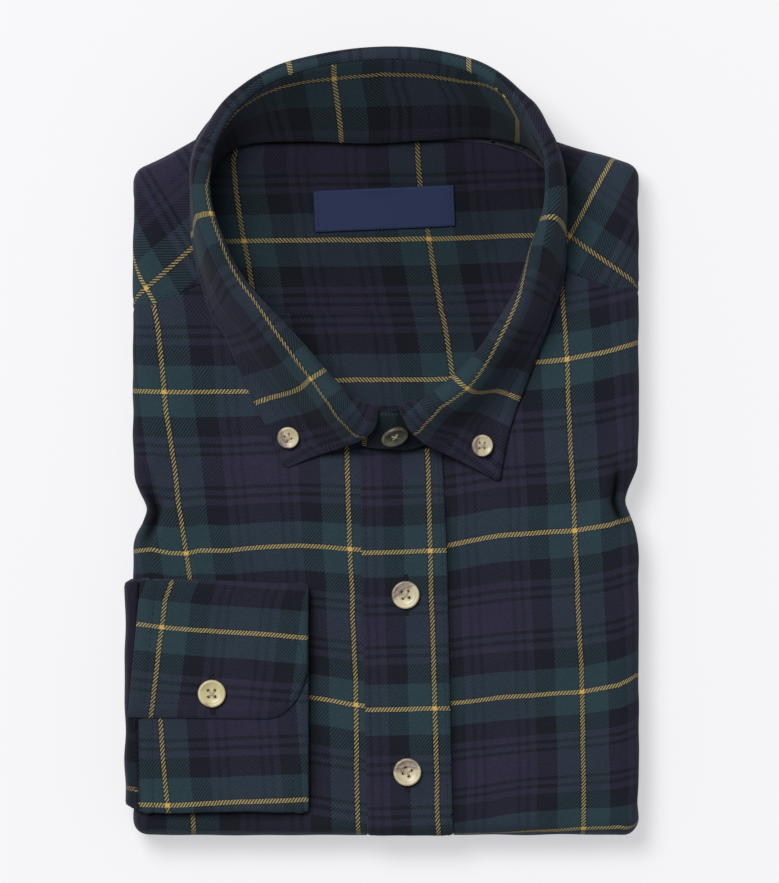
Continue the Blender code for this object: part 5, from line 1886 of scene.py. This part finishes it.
def horn_material(name, pale, tan, brown, deep):
    """Imitation horn: pale, with a darker cloud drawn out in streaks on one side."""
    shader = Shader(name, 0.36, Coat_Weight=0.12, Coat_Roughness=0.3)
    uv, toward_dark, _ = shader.cloth_map()
    drawn = shader.node("ShaderNodeMapping", Vector=uv, Scale=(3.2, 0.9, 1.0)).outputs["Vector"]
    streaks = shader.noise(drawn, 1.6, 3.0, 0.6)
    place = shader.node("ShaderNodeTexCoord").outputs["Object"]
    clouds = shader.noise(place, 160.0, 2.0, 0.5)
    light = shader.mix(clouds.smooth(0.3, 0.7), pale, tan)
    dark = shader.mix(streaks.smooth(0.40, 0.60), brown, deep)
    edge = (toward_dark + (streaks - 0.5) * 0.9 + (clouds - 0.5) * 0.5).smooth(-0.08, 0.22)
    shader.colour(shader.mix(edge * 0.9, light, dark))
    return shader.material


def thread_material(name, colour):
    shader = Shader(name, 0.85, Specular_IOR_Level=0.1)
    place = shader.node("ShaderNodeTexCoord").outputs["Object"]
    grain = shader.noise(place, 4000.0, 2.0)
    dark = tuple(part * 0.6 for part in colour)
    shader.colour(shader.mix(grain, dark, colour))
    return shader.material


def hidden_material():
    """The stack's own cloth, seen only in the seams' shadows."""
    shader = Shader("hidden_layers", 0.95)
    place = shader.node("ShaderNodeTexCoord").outputs["Object"]
    grain = shader.noise(place, 900.0, 3.0)
    shader.colour(shader.mix(grain, (0.008, 0.009, 0.014), (0.017, 0.016, 0.030)))
    return shader.material


# ---- Floor, light and camera ----
FRAME_CENTRE = (3.1, -0.2)     # row position in the middle of the photo's frame
FRAME_HEIGHT = 362.0           # of the photo's frame, at the height of the fronts
LENS = 800.0
SENSOR = 36.0
FLOOR_HALF = 3000.0
FLOOR_Z = -0.2
FLOOR_GLOW = 0.572             # the floor's own light, which makes the photo's even white
KEY_PLACE = (-1550.0, 1980.0, 5100.0)
KEY_SIZE = 2300.0
KEY_POWER = 340.0
SKY_POWER = 0.34


def stage_floor():
    """The plain pale floor."""
    corners = ((-1.0, -1.0), (1.0, -1.0), (1.0, 1.0), (-1.0, 1.0))
    points = [(x * FLOOR_HALF, y * FLOOR_HALF, FLOOR_Z) for x, y in corners]
    shader = Shader("floor", 0.9)
    place = shader.node("ShaderNodeTexCoord").outputs["Object"]
    grain = shader.noise(place, 2.0)
    shader.colour(shader.mix(grain, (0.31, 0.31, 0.315), (0.32, 0.32, 0.325)))
    shader.surface.inputs["Emission Color"].default_value = (0.93, 0.928, 0.958, 1.0)
    shader.surface.inputs["Emission Strength"].default_value = FLOOR_GLOW
    return make_mesh("floor", points, [(0, 1, 2, 3)], shader.material)


def area_light(name, place, target, size, power, colour):
    """A square light at a place, aimed at a target."""
    light = bpy.data.lights.new(name, "AREA")
    light.shape = "SQUARE"
    light.size = size * MM
    light.energy = power
    light.color = colour
    obj = bpy.data.objects.new(name, light)
    obj.location = Vector(place) * MM
    obj.rotation_euler = (Vector(target) - Vector(place)).to_track_quat("-Z", "Y").to_euler()
    bpy.context.scene.collection.objects.link(obj)


def studio():
    """The soft light from above the collar, the sky's fill and the camera straight above."""
    scene = bpy.context.scene
    scene.view_settings.view_transform = "Standard"
    world = bpy.data.worlds.new("studio")
    world.use_nodes = True
    world.node_tree.nodes["Background"].inputs["Color"].default_value = (0.93, 0.96, 1.0, 1.0)
    world.node_tree.nodes["Background"].inputs["Strength"].default_value = SKY_POWER
    scene.world = world
    area_light("key", KEY_PLACE, (0.0, 0.0, 0.0), KEY_SIZE, KEY_POWER, (1.0, 0.98, 0.95))
    camera = bpy.data.objects.new("camera", bpy.data.cameras.new("camera"))
    camera.data.lens = LENS
    camera.data.sensor_width = SENSOR
    camera.data.clip_end = 100.0
    distance = FRAME_HEIGHT * LENS / SENSOR
    camera.location = Vector((*FRAME_CENTRE, TOP_Z + distance)) * MM
    scene.collection.objects.link(camera)
    scene.camera = camera


# ---- The shirt ----
SHEETS = (
    # node, flat width and length in metres, area in square metres if not a rectangle, how it is held
    ("front_right", 0.14, 0.26, 0.032, "folded"),
    ("front_left", 0.13, 0.26, 0.0295, "folded"),
    ("yoke_outer", 0.22, 0.13, 0.0156, "folded"),
    ("yoke_inside", 0.15, 0.073, 0.0101, "laid"),
    ("back_inside", 0.13, 0.055, 0.005, "laid"),
    ("neck_label", 0.057, 0.0164, None, "laid"),
    ("front_placket", 0.036, 0.195, None, "folded"),
    ("collar_stand", 0.40, 0.034, None, "folded"),
    ("collar_leaf", 0.45, 0.05, 0.0205, "folded"),
    ("sleeve_right", 0.092, 0.0215, None, "folded"),
    ("cuff_right", 0.072, 0.22, None, "folded"),
)


def main():
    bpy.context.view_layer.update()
    materials = {
        "cloth": tartan_material(),
        "label": label_material(),
        **{name: horn_material(name, *shades) for name, shades in HORNS.items()},
        "hidden": hidden_material(),
        "thread": thread_material("button_thread", BUTTON_THREAD),
        "sewing": thread_material("sewing_thread", SEWING_THREAD),
    }
    pieces = body_pieces(materials)
    pieces.update(inside_pieces(materials))
    pieces["neck_label"] = neck_label(materials)
    pieces["front_placket"] = front_placket(materials)
    pieces["collar_stand"] = collar_stand(materials)
    pieces["collar_leaf"] = collar_leaf(materials)
    pieces["sleeve_right"] = sleeve_right(materials)
    pieces["cuff_right"] = cuff_right(materials)
    stack = hidden_stack(materials)
    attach(stack, "root")
    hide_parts("folded_layers")
    for node, width, length, area, held in SHEETS:
        piece = pieces[node][0]
        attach(piece, "root")
        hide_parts(node)
    for seam in sewing(pieces, materials):
        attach(seam, "root")
    for piece, node, thread in buttons(materials):
        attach(piece, "root")
        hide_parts(node)
        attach(thread, "root")
    stage_floor()
    studio()


main()
